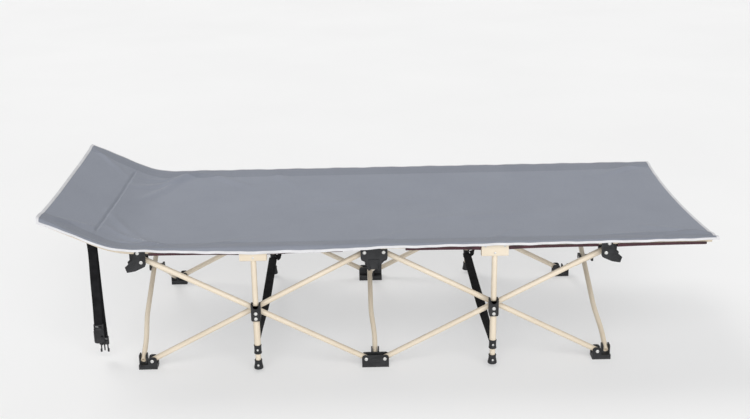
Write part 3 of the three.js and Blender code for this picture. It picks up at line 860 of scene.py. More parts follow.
# %% [markdown]
# An inner rail is a straight tube whose far end is pressed flat. The flat part is a thin block
# pushed a little way into the tube. Two rails meet in a middle joint, so each tang lies on its
# own side of the middle plane.

# %% Inner rails with their tangs
TANG_THICK = 0.0036
TANG_LENGTH = 0.058


def tang(low_x, high_x, y, z):
    """A flat bar that reaches into the middle joint, from a cube."""
    half = SIDE_RADIUS - 0.0008
    return block((low_x, y - TANG_THICK / 2, z - half), (high_x, y + TANG_THICK / 2, z + half), 0.0006)


for end_name, end in ENDS.items():
    for side_name, side in SIDES.items():
        corner = f"{end_name}_{side_name}"
        start = pivot(f"rail_inner_{corner}_hinge")
        box_low, box_high = (Vector(one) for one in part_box(f"rail_inner_{corner}"))
        far = box_low.x if end > 0 else box_high.x
        mouth = far + end * (TANG_LENGTH - 0.004)
        tube = straight_tube(
            "part", start + Vector((end * SIDE_RADIUS, 0, 0)), (mouth, start.y, start.z), SIDE_RADIUS
        )
        spread = 0.0022 * side * (1 if end > 0 else -1)
        inside = mouth + end * 0.015
        flat = settled(
            tang(min(far, inside), max(far, inside), start.y + spread, start.z), "part", cream_coat
        )
        piece = joined([tube, flat], f"inner_rail_{corner}")
        put(piece, f"rail_inner_{corner}", [f"rail_inner_{corner}"])
print("inner rails: 4")

# %% [markdown]
# A post is a pole that slides in its bracket, with a channel on top that holds two rail ends.
# The channel is folded sheet: a cube loses its top and ends, its corners are rounded, and
# Solidify gives the sheet its gauge.

# %% Posts and sleeves
SLEEVE_RADIUS = 0.0095
CHANNEL_GAUGE = 0.0015
CHANNEL_DROP = 0.034


def rail_channel(node, x, y):
    """The folded channel at the top of a post."""
    low, high = (Vector(one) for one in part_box(node))
    pole_top = RAIL_HEIGHT - CHANNEL_DROP
    clear_selection()
    bpy.ops.mesh.primitive_cube_add(size=1, location=(x, y, (pole_top + high.z) / 2))
    piece = bpy.context.object
    piece.scale = (high.x - low.x, high.y - low.y, high.z - pole_top)
    bpy.ops.object.transform_apply(location=False, rotation=False, scale=True)
    edit(piece)
    pick_faces(piece, lambda centre, normal: normal.z > 0.9 or abs(normal.x) > 0.9)
    bpy.ops.mesh.delete(type="FACE")
    pick_edges(piece, lambda one, other: (max(abs(one.z - pole_top), abs(other.z - pole_top)) < 1e-4
                                          and abs(one.y - other.y) < 1e-4))
    bpy.ops.mesh.bevel(offset=0.003, segments=4, affect="EDGES")
    bpy.ops.mesh.select_mode(type="VERT")
    bpy.ops.mesh.select_all(action="DESELECT")
    mesh = bmesh.from_edit_mesh(piece.data)
    for vertex in mesh.verts:
        if (piece.matrix_world @ vertex.co).z > high.z - 1e-4:
            vertex.select = True
    mesh.select_flush_mode()
    bmesh.update_edit_mesh(piece.data)
    bpy.ops.mesh.bevel(offset=0.003, segments=4, affect="VERTICES")
    bpy.ops.object.mode_set(mode="OBJECT")
    modified(piece, "SOLIDIFY", thickness=CHANNEL_GAUGE, offset=-1, use_even_offset=True)
    rounded(piece, 0.0003, 50)
    return settled(piece, "part", cream_coat)


for end_name, end in ENDS.items():
    for side_name, side in SIDES.items():
        corner = f"{end_name}_{side_name}"
        post_x = pivot(f"slide_bracket_{corner}_hinge").x
        post_y = side * RAIL_SIDE
        pole_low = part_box(f"post_{corner}")[0][2]
        pole = straight_tube(
            "part", (post_x, post_y, pole_low), (post_x, post_y, RAIL_HEIGHT - CHANNEL_DROP + 0.0005),
            SIDE_RADIUS
        )
        channel = rail_channel(f"post_{corner}", post_x, post_y)
        put(
            joined([pole, channel], f"post_with_channel_{corner}"), f"post_{corner}", [f"post_{corner}"]
        )
        low, high = (Vector(one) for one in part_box(f"sleeve_tube_{corner}"))
        sleeve = straight_tube(
            f"sleeve_{corner}", (post_x, post_y, low.z), (post_x, post_y, high.z), SLEEVE_RADIUS
        )
        put(sleeve, f"slide_bracket_{corner}", [f"sleeve_tube_{corner}"])
print("posts and sleeves: 4 of each")

# %% [markdown]
# The bed is one sheet of oxford cloth, stretched from rail to rail and from end to end. Its
# bound edge turns down outside the front rail and stands out behind the back one. Stretched
# cloth has a shape that can be written down: it rises with the head rails, sags a little
# between the side rails, rounds over them, and is pulled in at its free ends. So its surface is
# a function of two lengths, one along the bed and one across the cloth, and a mesh is drawn on
# it. The frame folds under it in panels, so the sheet is cut where the rails hinge, and each
# panel rides on its own rail.

# %% Where the cloth lies along the bed
CLOTH_HALF_THICK = 0.0006
CLOTH_HEIGHT = RAIL_HEIGHT + SIDE_RADIUS + 0.0015
CLOTH_BEND = HEAD_BEND_RADIUS - SIDE_RADIUS - 0.0015
HEAD_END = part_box("fabric_bed")[0][0]
TAIL_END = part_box("fabric_bed")[1][0]


def smooth_step(value, low, high):
    """0 below low, 1 above high, and an easy slope between."""
    share = min(max((value - low) / (high - low), 0.0), 1.0)
    return share * share * (3 - 2 * share)


def eased(value, stops):
    """A value read off a few stops, (place, amount), with easy slopes between them."""
    if value <= stops[0][0]:
        return stops[0][1]
    for (low, first), (high, second) in zip(stops, stops[1:]):
        if value <= high:
            return first + (second - first) * smooth_step(value, low, high)
    return stops[-1][1]


def bed_height(x):
    """The cloth's height over the rails: level, then round the bend, then up the head slope."""
    past = HEAD_BEND_START - x
    if past <= 0:
        return CLOTH_HEIGHT
    round_bend = CLOTH_BEND * math.sin(HEAD_SLOPE)
    if past <= round_bend:
        return CLOTH_HEIGHT + CLOTH_BEND - math.sqrt(CLOTH_BEND ** 2 - past ** 2)
    return CLOTH_HEIGHT + CLOTH_BEND * (
        1 - math.cos(HEAD_SLOPE)
    ) + (past - round_bend) * math.tan(HEAD_SLOPE)


print(
    "cloth from", round(HEAD_END, 3), "to", round(TAIL_END, 3), "head edge at",
    round(bed_height(HEAD_END), 3)
)

# %% Sag, pull and wrinkles
RIDGE = 0.352              # where the cloth meets a rail, from the bed's middle line
SHOULDER = 0.3640          # where it starts to turn down
SHOULDER_RADIUS = 0.0085   # how round it turns
FLAP_END = SHOULDER + SHOULDER_RADIUS * math.pi / 2 + 0.0125
BINDING_WIDTH = 0.009
SAG = 0.016
HEM_SEAM = 0.313           # the seam that closes the sleeve round a rail
HEM_DROP = 0.0045          # how far the cloth falls from the rail to that seam
BACK_TURN = 0.15           # the back edge stands out instead of hanging: how far it turns, in radians
HEAD_CREASE = HEAD_BEND_START - 0.120
# How far the front edge is lifted: places along the bed, and the lift there.
EDGE_LIFT = [
    (-0.95, 0.004), (-0.80, 0.014), (-0.66, 0.018), (-0.58, 0.010), (-0.36, 0.001), (-0.14, 0.003),
    (0.02, 0.011), (0.34, 0.013), (0.62, 0.014), (0.80, 0.015), (0.95, 0.018)
]
BACK_GATHER = 0.55         # and how much of its width is left by its own gathers
PULL_STRENGTH = 3.4        # makes every ridge below so much higher
# Soft ridges in the cloth: from, to, height, half width. All in metres along and across it.
PULLS = [
    ((-0.60, 0.330), (-0.800, 0.150), 0.0026, 0.016),
    ((-0.56, 0.345), (-0.770, 0.260), 0.0022, 0.012),
    ((-0.64, 0.300), (-0.760, 0.040), 0.0020, 0.018),
    ((-0.55, 0.340), (-0.400, 0.210), 0.0016, 0.020),
    ((-0.62, -0.330), (-0.800, -0.210), 0.0022, 0.014),
    ((-0.58, -0.345), (-0.740, -0.300), 0.0020, 0.010),
    ((-0.66, -0.300), (-0.820, -0.080), 0.0016, 0.020),
    ((-0.50, -0.345), (-0.330, -0.270), 0.0014, 0.018),
    ((-0.940, -0.350), (-0.780, -0.250), 0.0018, 0.016),
    ((-0.940, 0.350), (-0.800, 0.220), 0.0018, 0.018),
    ((0.940, -0.350), (0.760, -0.240), 0.0026, 0.020),
    ((0.940, 0.350), (0.760, 0.250), 0.0024, 0.020),
    ((0.900, -0.335), (0.600, -0.300), 0.0014, 0.012),
    ((0.330, -0.345), (0.430, -0.180), 0.0012, 0.022),
    ((-0.340, 0.345), (-0.220, 0.160), 0.0012, 0.024),
    ((-0.02, -0.345), (0.120, -0.200), 0.0011, 0.024),
    ((-0.20, 0.05), (0.35, 0.09), 0.0009, 0.030),
    ((0.10, -0.12), (0.70, -0.06), 0.0009, 0.034),
]


def pulled(x, across):
    """The height that the ridges in the cloth add at one place."""
    height = 0.0
    for (x0, y0), (x1, y1), high, wide in PULLS:
        run_x, run_y = x1 - x0, y1 - y0
        length = math.hypot(run_x, run_y)
        along = ((x - x0) * run_x + (across - y0) * run_y) / length
        aside = ((x - x0) * run_y - (across - y0) * run_x) / length
        if -0.05 < along < length + 0.05 and abs(aside) < 3 * wide:
            fade = smooth_step(along, -0.05, 0.03) * (
                1 - smooth_step(along, 0.3 * length, length + 0.05)
            )
            height += PULL_STRENGTH * high * fade * math.exp(
                -(aside / wide) ** 2
            ) * math.cos(0.9 * aside / wide)
    return height


def cloth_point(x, across):
    """A place on the middle of the cloth, from its lengths along and across it."""
    off = abs(across)
    if across > SHOULDER:
        off = SHOULDER + BACK_GATHER * (off - SHOULDER)
    inside = max(1 - (off / RIDGE) ** 2, 0.0)
    ends = smooth_step(x, HEAD_END, HEAD_END + 0.30) * (1 - smooth_step(x, TAIL_END - 0.35, TAIL_END))
    bend = 1 - 0.55 * math.exp(-((x - HEAD_CREASE) / 0.07) ** 2)
    z = bed_height(x) - SAG * (0.30 + 0.70 * ends) * bend * inside ** 1.15
    z -= HEM_DROP * (0.35 + 0.65 * ends) * smooth_step(RIDGE - off, -0.012, RIDGE - HEM_SEAM)
    z -= 0.0009 * math.exp(-((off - HEM_SEAM) / 0.0022) ** 2)
    if off < RIDGE:
        edge_fade = smooth_step(RIDGE - off, 0, 0.03)
        z += pulled(x, across) * (0.35 + 0.65 * edge_fade)
        groove = (x - HEAD_CREASE - 0.012 * across) / 0.0038
        z -= 0.0034 * math.exp(-groove * groove) * smooth_step(0.300 - off, 0, 0.03)
    y = off
    if off > SHOULDER:
        most = BACK_TURN if across > 0 else math.pi / 2
        turn = min((off - SHOULDER) / SHOULDER_RADIUS, most)
        beyond = max(off - SHOULDER - SHOULDER_RADIUS * most, 0)
        y = SHOULDER + SHOULDER_RADIUS * math.sin(turn) + beyond * math.cos(most)
        z -= SHOULDER_RADIUS * (1 - math.cos(turn)) + beyond * math.sin(most)
    share = smooth_step(off, RIDGE + 0.004, FLAP_END)
    ripple = 0.0009 * math.sin(x * 41) + 0.0006 * math.sin(x * 97 + 1.3)
    lift = eased(x, EDGE_LIFT) if across < 0 else 0
    z += (lift + ripple) * share
    y += (0.45 * max(lift, 0) + 0.5 * ripple) * share
    bowed = 1 - (off / 0.372) ** 2
    x_pulled = x - 0.014 * bowed * smooth_step(x, TAIL_END - 0.24, TAIL_END)
    near_head = 1 - smooth_step(x, HEAD_END, HEAD_END + 0.15)
    x_pulled += (0.005 * bowed + 0.009 * smooth_step(-across, -0.1, 0.36)) * near_head
    return Vector((x_pulled, math.copysign(y, across), z))


def cloth_normal(x, across):
    """Which way the cloth faces there."""
    step = 0.0007
    along = cloth_point(x + step, across) - cloth_point(x - step, across)
    over = cloth_point(x, across + step) - cloth_point(x, across - step)
    return along.cross(over).normalized()


print(
    "middle of the bed sags to", round(cloth_point(0, 0).z, 4), "edge at",
    round(cloth_point(0, -FLAP_END).z, 4)
)

# %% [markdown]
# The grid's lines run closer where the cloth turns and at the binding tape, which folds over
# every edge. The tape is part of the same shell: there the shell is thicker, and the faces have
# the tape's finish. At a cut the two panels share their line and their shading, so that no seam
# shows while the cot is open.

# %% Lines of the grid
def between(low, high, step):
    """Evenly spaced places from low to high."""
    count = max(int(math.ceil((high - low) / step)), 1)
    return [low + (high - low) * i / count for i in range(count + 1)]


TAPE_EDGE = [0.0, 0.0007, BINDING_WIDTH - 0.0004, BINDING_WIDTH]
END_BINDING_WIDTH = 0.008
END_TAPE = [0.0, 0.0007, END_BINDING_WIDTH - 0.0004, END_BINDING_WIDTH]
sleeve_lines = sorted({round(value, 6) for value in
                       [*between(RIDGE - 0.001, SHOULDER, 0.0045),
                        *(SHOULDER + SHOULDER_RADIUS * math.pi / 2 * i / 7 for i in range(8)),
                        *(FLAP_END - inset for inset in TAPE_EDGE),
                        FLAP_END - BINDING_WIDTH / 2]})
panel_edge = RIDGE - 0.001
hem_lines = [
    HEM_SEAM + step for step in (-0.004, -0.0022, 0.0, 0.0022, 0.004, 0.010, 0.017, 0.024, 0.031)
]
panel_lines = sorted({*between(-HEM_SEAM + 0.006, HEM_SEAM - 0.006, 0.0115), *hem_lines, panel_edge,
                      *(-line for line in hem_lines), -panel_edge})
CUTS = [
    HEAD_END, pivot("rail_head_front_hinge").x, pivot("rail_inner_head_front_hinge").x, pivot("fold").x,
    pivot("outer_bar_tail_front_hinge").x, pivot("rail_inner_tail_front_hinge").x,
    pivot("rail_tail_front_hinge").x, TAIL_END
]
SECTIONS = [
    "rail_head", "post_head", "rail_inner_head", "middle_joint", "rail_inner_tail", "post_tail",
    "rail_tail"
]


def section_lines(first, last):
    """The grid's lines along one section, with the tape's own lines at a free end."""
    lines = between(first, last, 0.0095)
    if first == HEAD_END:
        near = HEAD_CREASE - 0.014
        lines = [HEAD_END + inset for inset in END_TAPE] + between(HEAD_END + 0.020, near, 0.0095)
        lines += between(near, near + 0.028, 0.0028)[1:] + between(near + 0.028, last, 0.0095)[1:]
    if last == TAIL_END:
        lines = between(first, TAIL_END - 0.020, 0.0095) + [
            TAIL_END - inset for inset in reversed(END_TAPE)
        ]
    return lines


print("lines across a sleeve:", len(sleeve_lines), "across the panel:", len(panel_lines))

# %% One panel of cloth
def from_edge(x, across):
    """How far a place on the cloth is from its nearest free edge, counted in that edge's own tape."""
    from_end = min(x - HEAD_END, TAIL_END - x) * BINDING_WIDTH / END_BINDING_WIDTH
    return min(from_end, FLAP_END - abs(across))


def cloth_panel(name, x_lines, across_lines):
    """A thin closed shell on the cloth's surface, with tape where it nears a free edge."""
    mesh = bmesh.new()
    map_layer = mesh.loops.layers.uv.new("UVMap")
    tops, unders, facing = [], [], {}
    for x in x_lines:
        top_row, under_row = [], []
        for across in across_lines:
            inset = from_edge(x, across)
            half = CLOTH_HALF_THICK
            if inset < BINDING_WIDTH - 0.0002:
                half += 0.0008
            if inset < 0.0002:
                half = 0.0005
            point = cloth_point(x, across)
            normal = cloth_normal(x, across)
            top = mesh.verts.new(point + normal * half)
            under = mesh.verts.new(point - normal * half)
            facing[top], facing[under] = normal, -normal
            top_row.append((top, (x, across)))
            under_row.append((under, (x, across)))
        tops.append(top_row)
        unders.append(under_row)

    def add_face(corners, material):
        face = mesh.faces.new([vertex for vertex, _ in corners])
        face.material_index = material
        for loop, (_, place_on) in zip(face.loops, corners):
            loop[map_layer].uv = place_on
        return face

    for i in range(len(x_lines) - 1):
        for j in range(len(across_lines) - 1):
            middle = from_edge(
                (x_lines[i] + x_lines[i + 1]) / 2, (across_lines[j] + across_lines[j + 1]) / 2
            )
            tape = middle < BINDING_WIDTH
            top = [tops[i][j], tops[i + 1][j], tops[i + 1][j + 1], tops[i][j + 1]]
            under = [unders[i][j + 1], unders[i + 1][j + 1], unders[i + 1][j], unders[i][j]]
            # Top faces outside the hem seam take the darker hem cloth, whose darkening is painted shade.
            hemmed = abs(across_lines[j] + across_lines[j + 1]) / 2 > HEM_SEAM
            add_face(top, 1 if tape else 3 if hemmed else 0)
            add_face(under, 1 if tape else 2)
    last_x, last_y = len(x_lines) - 1, len(across_lines) - 1
    for i in range(last_x):
        for j, turn in ((0, False), (last_y, True)):
            rim = [tops[i][j], unders[i][j], unders[i + 1][j], tops[i + 1][j]]
            tape = FLAP_END - abs(across_lines[j]) < BINDING_WIDTH
            add_face(list(reversed(rim)) if turn else rim, 1 if tape else 0)
    for j in range(last_y):
        for i, turn in ((0, True), (last_x, False)):
            rim = [tops[i][j], unders[i][j], unders[i][j + 1], tops[i][j + 1]]
            tape = min(x_lines[i] - HEAD_END, TAIL_END - x_lines[i]) < END_BINDING_WIDTH
            add_face(list(reversed(rim)) if turn else rim, 1 if tape else 0)
    bmesh.ops.recalc_face_normals(mesh, faces=mesh.faces[:])
    mesh.verts.index_update()
    shading = {vertex.index: normal for vertex, normal in facing.items()}
    data = bpy.data.meshes.new(name)
    mesh.to_mesh(data)
    mesh.free()
    for finish in (bed_cloth, binding_tape, cloth_underside, hem_cloth_painted_shade):
        data.materials.append(finish)
    data.shade_smooth()
    loop_normals = []
    for polygon in data.polygons:
        for vertex in polygon.vertices:
            normal = shading[vertex]
            on_surface = abs(normal.dot(polygon.normal)) > 0.6
            loop_normals.append(tuple(normal if on_surface else polygon.normal))
    data.normals_split_custom_set(loop_normals)
    panel = bpy.data.objects.new(name, data)
    bpy.context.scene.collection.objects.link(panel)
    return panel

# %% [markdown]
# Each section of the bed is a middle panel, which rides on the front body of that section, and a
# sleeve on each side, which rides on that side's body.

# %% The bed in its sections
for section, first, last in zip(SECTIONS, CUTS, CUTS[1:]):
    x_lines = section_lines(first, last)
    for side_name, side in SIDES.items():
        lines = [side * value for value in sleeve_lines]
        sleeve = cloth_panel(f"cloth_sleeve_{section}_{side_name}", x_lines, sorted(lines))
        put(sleeve, f"{section}_{side_name}", [])
    panel = cloth_panel(f"cloth_panel_{section}", x_lines, panel_lines)
    put(panel, f"{section}_front", ["fabric_bed"])
    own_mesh(panel)

# %% [markdown]
# A row of stitches holds the fold line across the head. One stitch is a short bead of thread,
# modelled once and laid along the cloth.

# %% Stitches across the head
stitch = block((-0.0005, -0.0028, -0.0004), (0.0005, 0.0028, 0.0004), 0.0002, 1)
settled(stitch, "stitch", stitch_thread, 60)
stitches = []
for i, across in enumerate(between(-0.340, 0.340, 0.0085)):
    x = HEAD_CREASE + 0.012 * across
    along = (cloth_point(x, across + 0.001) - cloth_point(x, across - 0.001)).normalized()
    normal = cloth_normal(x, across)
    sideways = along.cross(normal)
    turn = Matrix((sideways, along, normal)).transposed().to_4x4()
    place = Matrix.Translation(cloth_point(x, across) + normal * 0.0007) @ turn
    stitches.append(copied(stitch, f"stitch_{i}", place))
bpy.data.objects.remove(stitch)
head_stitches = joined(stitches, "head_fold_stitches")
put(head_stitches, "rail_head_front", [])
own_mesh(head_stitches)
print("stitches:", i + 1)

# %% [markdown]
# Inside the turned-down edge a maroon sleeve holds the rail. It shows only as a dark line under
# the binding, and hangs a little lower beside the posts.

# %% Maroon rail sleeves
def rail_sleeve(name, side, first, last, post_x):
    """A half round of lining under a straight rail."""
    profile = [(-0.0098, 0.0060), (-0.0102, -0.0020), (-0.0082, -0.0086), (-0.0020, -0.0116),
               (0.0045, -0.0116), (0.0098, -0.0088), (0.0112, -0.0030)]
    mesh = bmesh.new()
    map_layer = mesh.loops.layers.uv.new("UVMap")
    rows = []
    for x in between(first, last, 0.008):
        near = math.exp(-abs(x - post_x) / 0.06)
        row = []
        for i, (out, up) in enumerate(profile):
            low = -(0.0008 + 0.0042 * near) if 2 <= i <= 5 else 0
            y = side * (RAIL_SIDE + out)
            row.append((mesh.verts.new((x, y, RAIL_HEIGHT + up + low)), (x, i * 0.006)))
        rows.append(row)
    for row, following in zip(rows, rows[1:]):
        for i in range(len(profile) - 1):
            corners = [row[i], row[i + 1], following[i + 1], following[i]]
            face = mesh.faces.new([vertex for vertex, _ in corners])
            for loop, (_, place_on) in zip(face.loops, corners):
                loop[map_layer].uv = place_on
    bmesh.ops.recalc_face_normals(mesh, faces=mesh.faces[:])
    data = bpy.data.meshes.new(name)
    mesh.to_mesh(data)
    mesh.free()
    lining = bpy.data.objects.new(name, data)
    bpy.context.scene.collection.objects.link(lining)
    modified(lining, "SOLIDIFY", thickness=0.0006, offset=1)
    return settled(lining, name, rail_lining, 50)


for end_name, end in ENDS.items():
    for side_name, side in SIDES.items():
        outer_x = pivot(f"rail_{end_name}_{side_name}_hinge").x
        inner_x = pivot(f"rail_inner_{end_name}_{side_name}_hinge").x
        joint_x = pivot(f"end_joint_{end_name}_{side_name}_hinge").x
        middle_x = COT_MIDDLE + end * 0.088
        outer_run = sorted((outer_x + end * 0.013, joint_x - end * 0.022))
        inner_run = sorted((inner_x - end * 0.013, middle_x))
        lining = rail_sleeve(f"rail_lining_outer_{end_name}_{side_name}", side, *outer_run, outer_x)
        put(lining, f"rail_{end_name}_{side_name}", [])
        lining = rail_sleeve(f"rail_lining_inner_{end_name}_{side_name}", side, *inner_run, inner_x)
        put(lining, f"rail_inner_{end_name}_{side_name}", [])
for side_name, side in SIDES.items():
    joint_x = pivot(f"end_joint_tail_{side_name}_hinge").x
    tail_run = (joint_x + 0.032, TAIL_END - 0.030)
    lining = rail_sleeve(f"rail_lining_tail_end_{side_name}", side, *tail_run, joint_x)
    put(lining, f"rail_tail_{side_name}", [])
print("rail linings: 10")

# %% [markdown]
# The black joints are moulded blocks with two cheeks and a web. Their shape is right in the
# frame, but its edges are knife sharp and its faces bare. So each is copied, its triangles are
# merged back into flat faces, the outer faces are sunk inside a raised lip as a mould makes
# them, every edge is rounded, and ribs and bosses are added where the real ones have them.

# %% A moulded joint from its frame piece
EDGE_ROUND = 0.0009


def on_outer_face(side, face):
    """Wants the faces that lie on a joint's outer side."""
    return lambda centre, normal: normal.y * side > 0.95 and abs(centre.y - face) < 0.0005


def moulded(node, sunk=None, lip=0.0028, depth=0.0007):
    """A copy of a CAD piece with sunk outer faces and rounded edges."""
    source = frame["nodes"][node]
    piece = source.copy()
    piece.data = source.data.copy()
    for key in list(piece.keys()):
        del piece[key]
    piece.parent = None
    bpy.context.scene.collection.objects.link(piece)
    piece.hide_render = False
    piece.hide_viewport = False
    edit(piece)
    bpy.ops.mesh.select_all(action="SELECT")
    bpy.ops.mesh.remove_doubles(threshold=0.00002)
    bpy.ops.mesh.dissolve_limited(angle_limit=math.radians(1))
    if sunk is not None:
        pick_faces(piece, sunk)
        bpy.ops.mesh.inset(thickness=lip, depth=0, use_individual=True)
        bpy.ops.mesh.inset(thickness=0.0004, depth=-depth, use_individual=True)
    bpy.ops.object.mode_set(mode="OBJECT")
    modified(piece, "BEVEL", width=EDGE_ROUND, segments=2, limit_method="ANGLE",
             angle_limit=math.radians(28), use_clamp_overlap=True)
    return settled(piece, "part", black_nylon, 40)

# %% [markdown]
# Parts of revolution, such as feet, collars and rivet heads, come from a profile. A single
# point is drawn out along the profile, and the line is spun once round.

# %% A spun part
def spun(profile, centre, steps=36, bevel=0.0003):
    """Spins a profile of (radius, height) round an upright axis through centre."""
    clear_selection()
    bpy.ops.mesh.primitive_plane_add(size=0.001, location=(0, 0, 0))
    piece = bpy.context.object
    bpy.ops.object.mode_set(mode="EDIT")
    bpy.ops.mesh.select_mode(type="VERT")
    bpy.ops.mesh.select_all(action="SELECT")
    bpy.ops.mesh.merge(type="CENTER")
    bpy.ops.transform.translate(value=(profile[0][0], 0, profile[0][1]))
    for (r0, h0), (r1, h1) in zip(profile, profile[1:]):
        bpy.ops.mesh.extrude_vertices_move(TRANSFORM_OT_translate={"value": (r1 - r0, 0, h1 - h0)})
    bpy.ops.mesh.select_all(action="SELECT")
    bpy.ops.mesh.spin(steps=steps, angle=2 * math.pi, center=(0, 0, 0), axis=(0, 0, 1))
    bpy.ops.mesh.select_all(action="SELECT")
    bpy.ops.mesh.remove_doubles(threshold=0.00002)
    bpy.ops.mesh.normals_make_consistent(inside=False)
    bpy.ops.object.mode_set(mode="OBJECT")
    rounded(piece, bevel, 35)
    piece.data.transform(Matrix.Translation(centre))
    return piece


# %% Rivets, modelled once in two sizes
def rivet_head(radius):
    """A pan head: a low rim, a rounded shoulder, a flat top with a small dimple."""
    height = 0.36 * radius
    profile = [
        (0, -0.0008), (radius, -0.0008), (radius, 0.35 * height), (0.86 * radius, 0.8 * height),
        (0.6 * radius, height), (0.30 * radius, height), (0.22 * radius, 0.82 * height),
        (0, 0.82 * height)
    ]
    return settled(spun(profile, (0, 0, 0), steps=28, bevel=0.00015), "rivet_pattern", rivet_zinc, 40)


LARGE_RIVET = 0.0052
SMALL_RIVET = 0.0032
large_rivet = rivet_head(LARGE_RIVET)
small_rivet = rivet_head(SMALL_RIVET)
FACING = {"+Y": Matrix.Rotation(-math.pi / 2, 4, "X"), "-Y": Matrix.Rotation(math.pi / 2, 4, "X"),
          "+X": Matrix.Rotation(math.pi / 2, 4, "Y"), "-X": Matrix.Rotation(-math.pi / 2, 4, "Y")}


def rivets(name, body, places):
    """All the rivets on one body, as one piece. Each place is (point, facing, pattern)."""
    heads = []
    for i, (point, facing, pattern) in enumerate(places):
        heads.append(copied(pattern, f"head_{i}", Matrix.Translation(point) @ FACING[facing]))
    put(joined(heads, name), body)


def outward(side):
    """Which way a rivet on an outer face looks."""
    return "-Y" if side < 0 else "+Y"


def outer_face(node, side):
    """The Y of a piece's outer face."""
    low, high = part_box(node)
    return low[1] if side < 0 else high[1]


print("rivet patterns:", large_rivet.name, small_rivet.name)

# %% [markdown]
# The shoes stand on the floor. The middle one is a long low plate with two rivets, and the
# corner ones hold a side bar and a cross bar at right angles.

# %% Shoes
for side_name, side in SIDES.items():
    node = f"shoe_middle_{side_name}"
    face = outer_face(node, side)
    shoe = moulded(node, on_outer_face(side, face))
    low_edge = 0.0062
    sunk_y = face - side * 0.0004
    pad = block((COT_MIDDLE - 0.010, sunk_y - 0.0005, low_edge + 0.006),
                (COT_MIDDLE + 0.010, sunk_y + 0.0005, low_edge + 0.0215), 0.0003)
    shoe = joined([shoe, settled(pad, "part", black_nylon)], f"middle_shoe_{side_name}_moulding")
    put(shoe, f"middle_shoe_{side_name}", [node])
    spots = []
    for x in (pivot(f"outer_bar_head_{side_name}_hinge").x if side > 0 else pivot("fold").x,
              pivot(f"outer_bar_tail_{side_name}_hinge").x):
        spots.append((Vector((x, face, SHOE_HEIGHT)), outward(side), large_rivet))
    rivets(f"middle_shoe_{side_name}_rivets", f"middle_shoe_{side_name}", spots)
    for end_name, end in ENDS.items():
        corner = f"{end_name}_{side_name}"
        node = f"shoe_{corner}"
        face = outer_face(node, side)
        shoe = moulded(node, on_outer_face(side, face), lip=0.0022)
        put(shoe, f"end_shoe_{corner}", [node])
        shoe.name = f"corner_shoe_{corner}_moulding"
        low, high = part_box(node)
        far_x = low[0] if end < 0 else high[0]
        spots = [
            (
                Vector((pivot(f"end_shoe_{corner}_hinge").x, face, SHOE_HEIGHT)), outward(side),
                large_rivet
            ),
            (Vector((far_x, side * CROSS_SIDE, SHOE_HEIGHT)), "-X" if end < 0 else "+X", small_rivet)
        ]
        rivets(f"corner_shoe_{corner}_rivets", f"end_shoe_{corner}", spots)
print("shoes: 6")

# %% [markdown]
# The high joints hold the bars' upper ends and the rails. The corner ones reach out and down to
# the cross scissor, stiffened by ribs. The middle ones are wide plates over a narrower body.

# %% Corner joints
def slanted_rib(start, end_point, y_low, y_high, thick=0.0016):
    """A rib between two points of a face, standing from y_low to y_high."""
    run = Vector((end_point[0] - start[0], 0, end_point[1] - start[1]))
    rib = block((-run.length / 2, y_low, -thick / 2), (run.length / 2, y_high, thick / 2), 0.0004)
    middle = Vector(((start[0] + end_point[0]) / 2, 0, (start[1] + end_point[1]) / 2))
    angle = math.atan2(-run.z, run.x)
    rib.data.transform(Matrix.Translation(rib.location))
    rib.location = (0, 0, 0)
    rib.data.transform(Matrix.Translation(middle) @ Matrix.Rotation(angle, 4, "Y"))
    return settled(rib, "part", black_nylon)


for side_name, side in SIDES.items():
    for end_name, end in ENDS.items():
        corner = f"{end_name}_{side_name}"
        node = f"top_joint_{corner}"
        face = outer_face(node, side)
        x = pivot(f"end_joint_{corner}_hinge").x
        joint = moulded(node, on_outer_face(side, face), lip=0.0030)
        low_y, high_y = sorted((face - side * 0.0016, face + side * 0.0004))
        ribs = []
        for drop in (0.0, 0.0065, 0.013):
            start = (x + end * 0.018, HIGH_HEIGHT - 0.008 - drop + 0.004)
            finish = (x + end * 0.040, HIGH_HEIGHT - 0.014 - 0.8 * drop + 0.002)
            ribs.append(slanted_rib(start, finish, low_y, high_y))
        start = (x - end * 0.010, HIGH_HEIGHT + 0.013)
        finish = (x + end * 0.016, HIGH_HEIGHT + 0.010)
        ribs.append(slanted_rib(start, finish, low_y, high_y))
        joint = joined([joint, *ribs], f"corner_joint_{corner}_moulding")
        put(joint, f"end_joint_{corner}", [node])
        cross_face = x + end * (0.028 + CROSS_RADIUS + 0.0005 + 0.0036)
        spots = [
            (Vector((x, face, HIGH_HEIGHT)), outward(side), large_rivet),
            (Vector((x + end * 0.008, face, RAIL_HEIGHT - 0.002)), outward(side), large_rivet),
            (Vector((cross_face, side * CROSS_SIDE, HIGH_HEIGHT)), "-X" if end < 0 else "+X", small_rivet)
        ]
        rivets(f"corner_joint_{corner}_rivets", f"end_joint_{corner}", spots)
print("corner joints: 4")

# %% [markdown]
# A middle joint holds two inner bars and two rail tangs. Two slanted ribs run down its face to
# a pair of teeth, and a level rib runs across above them.

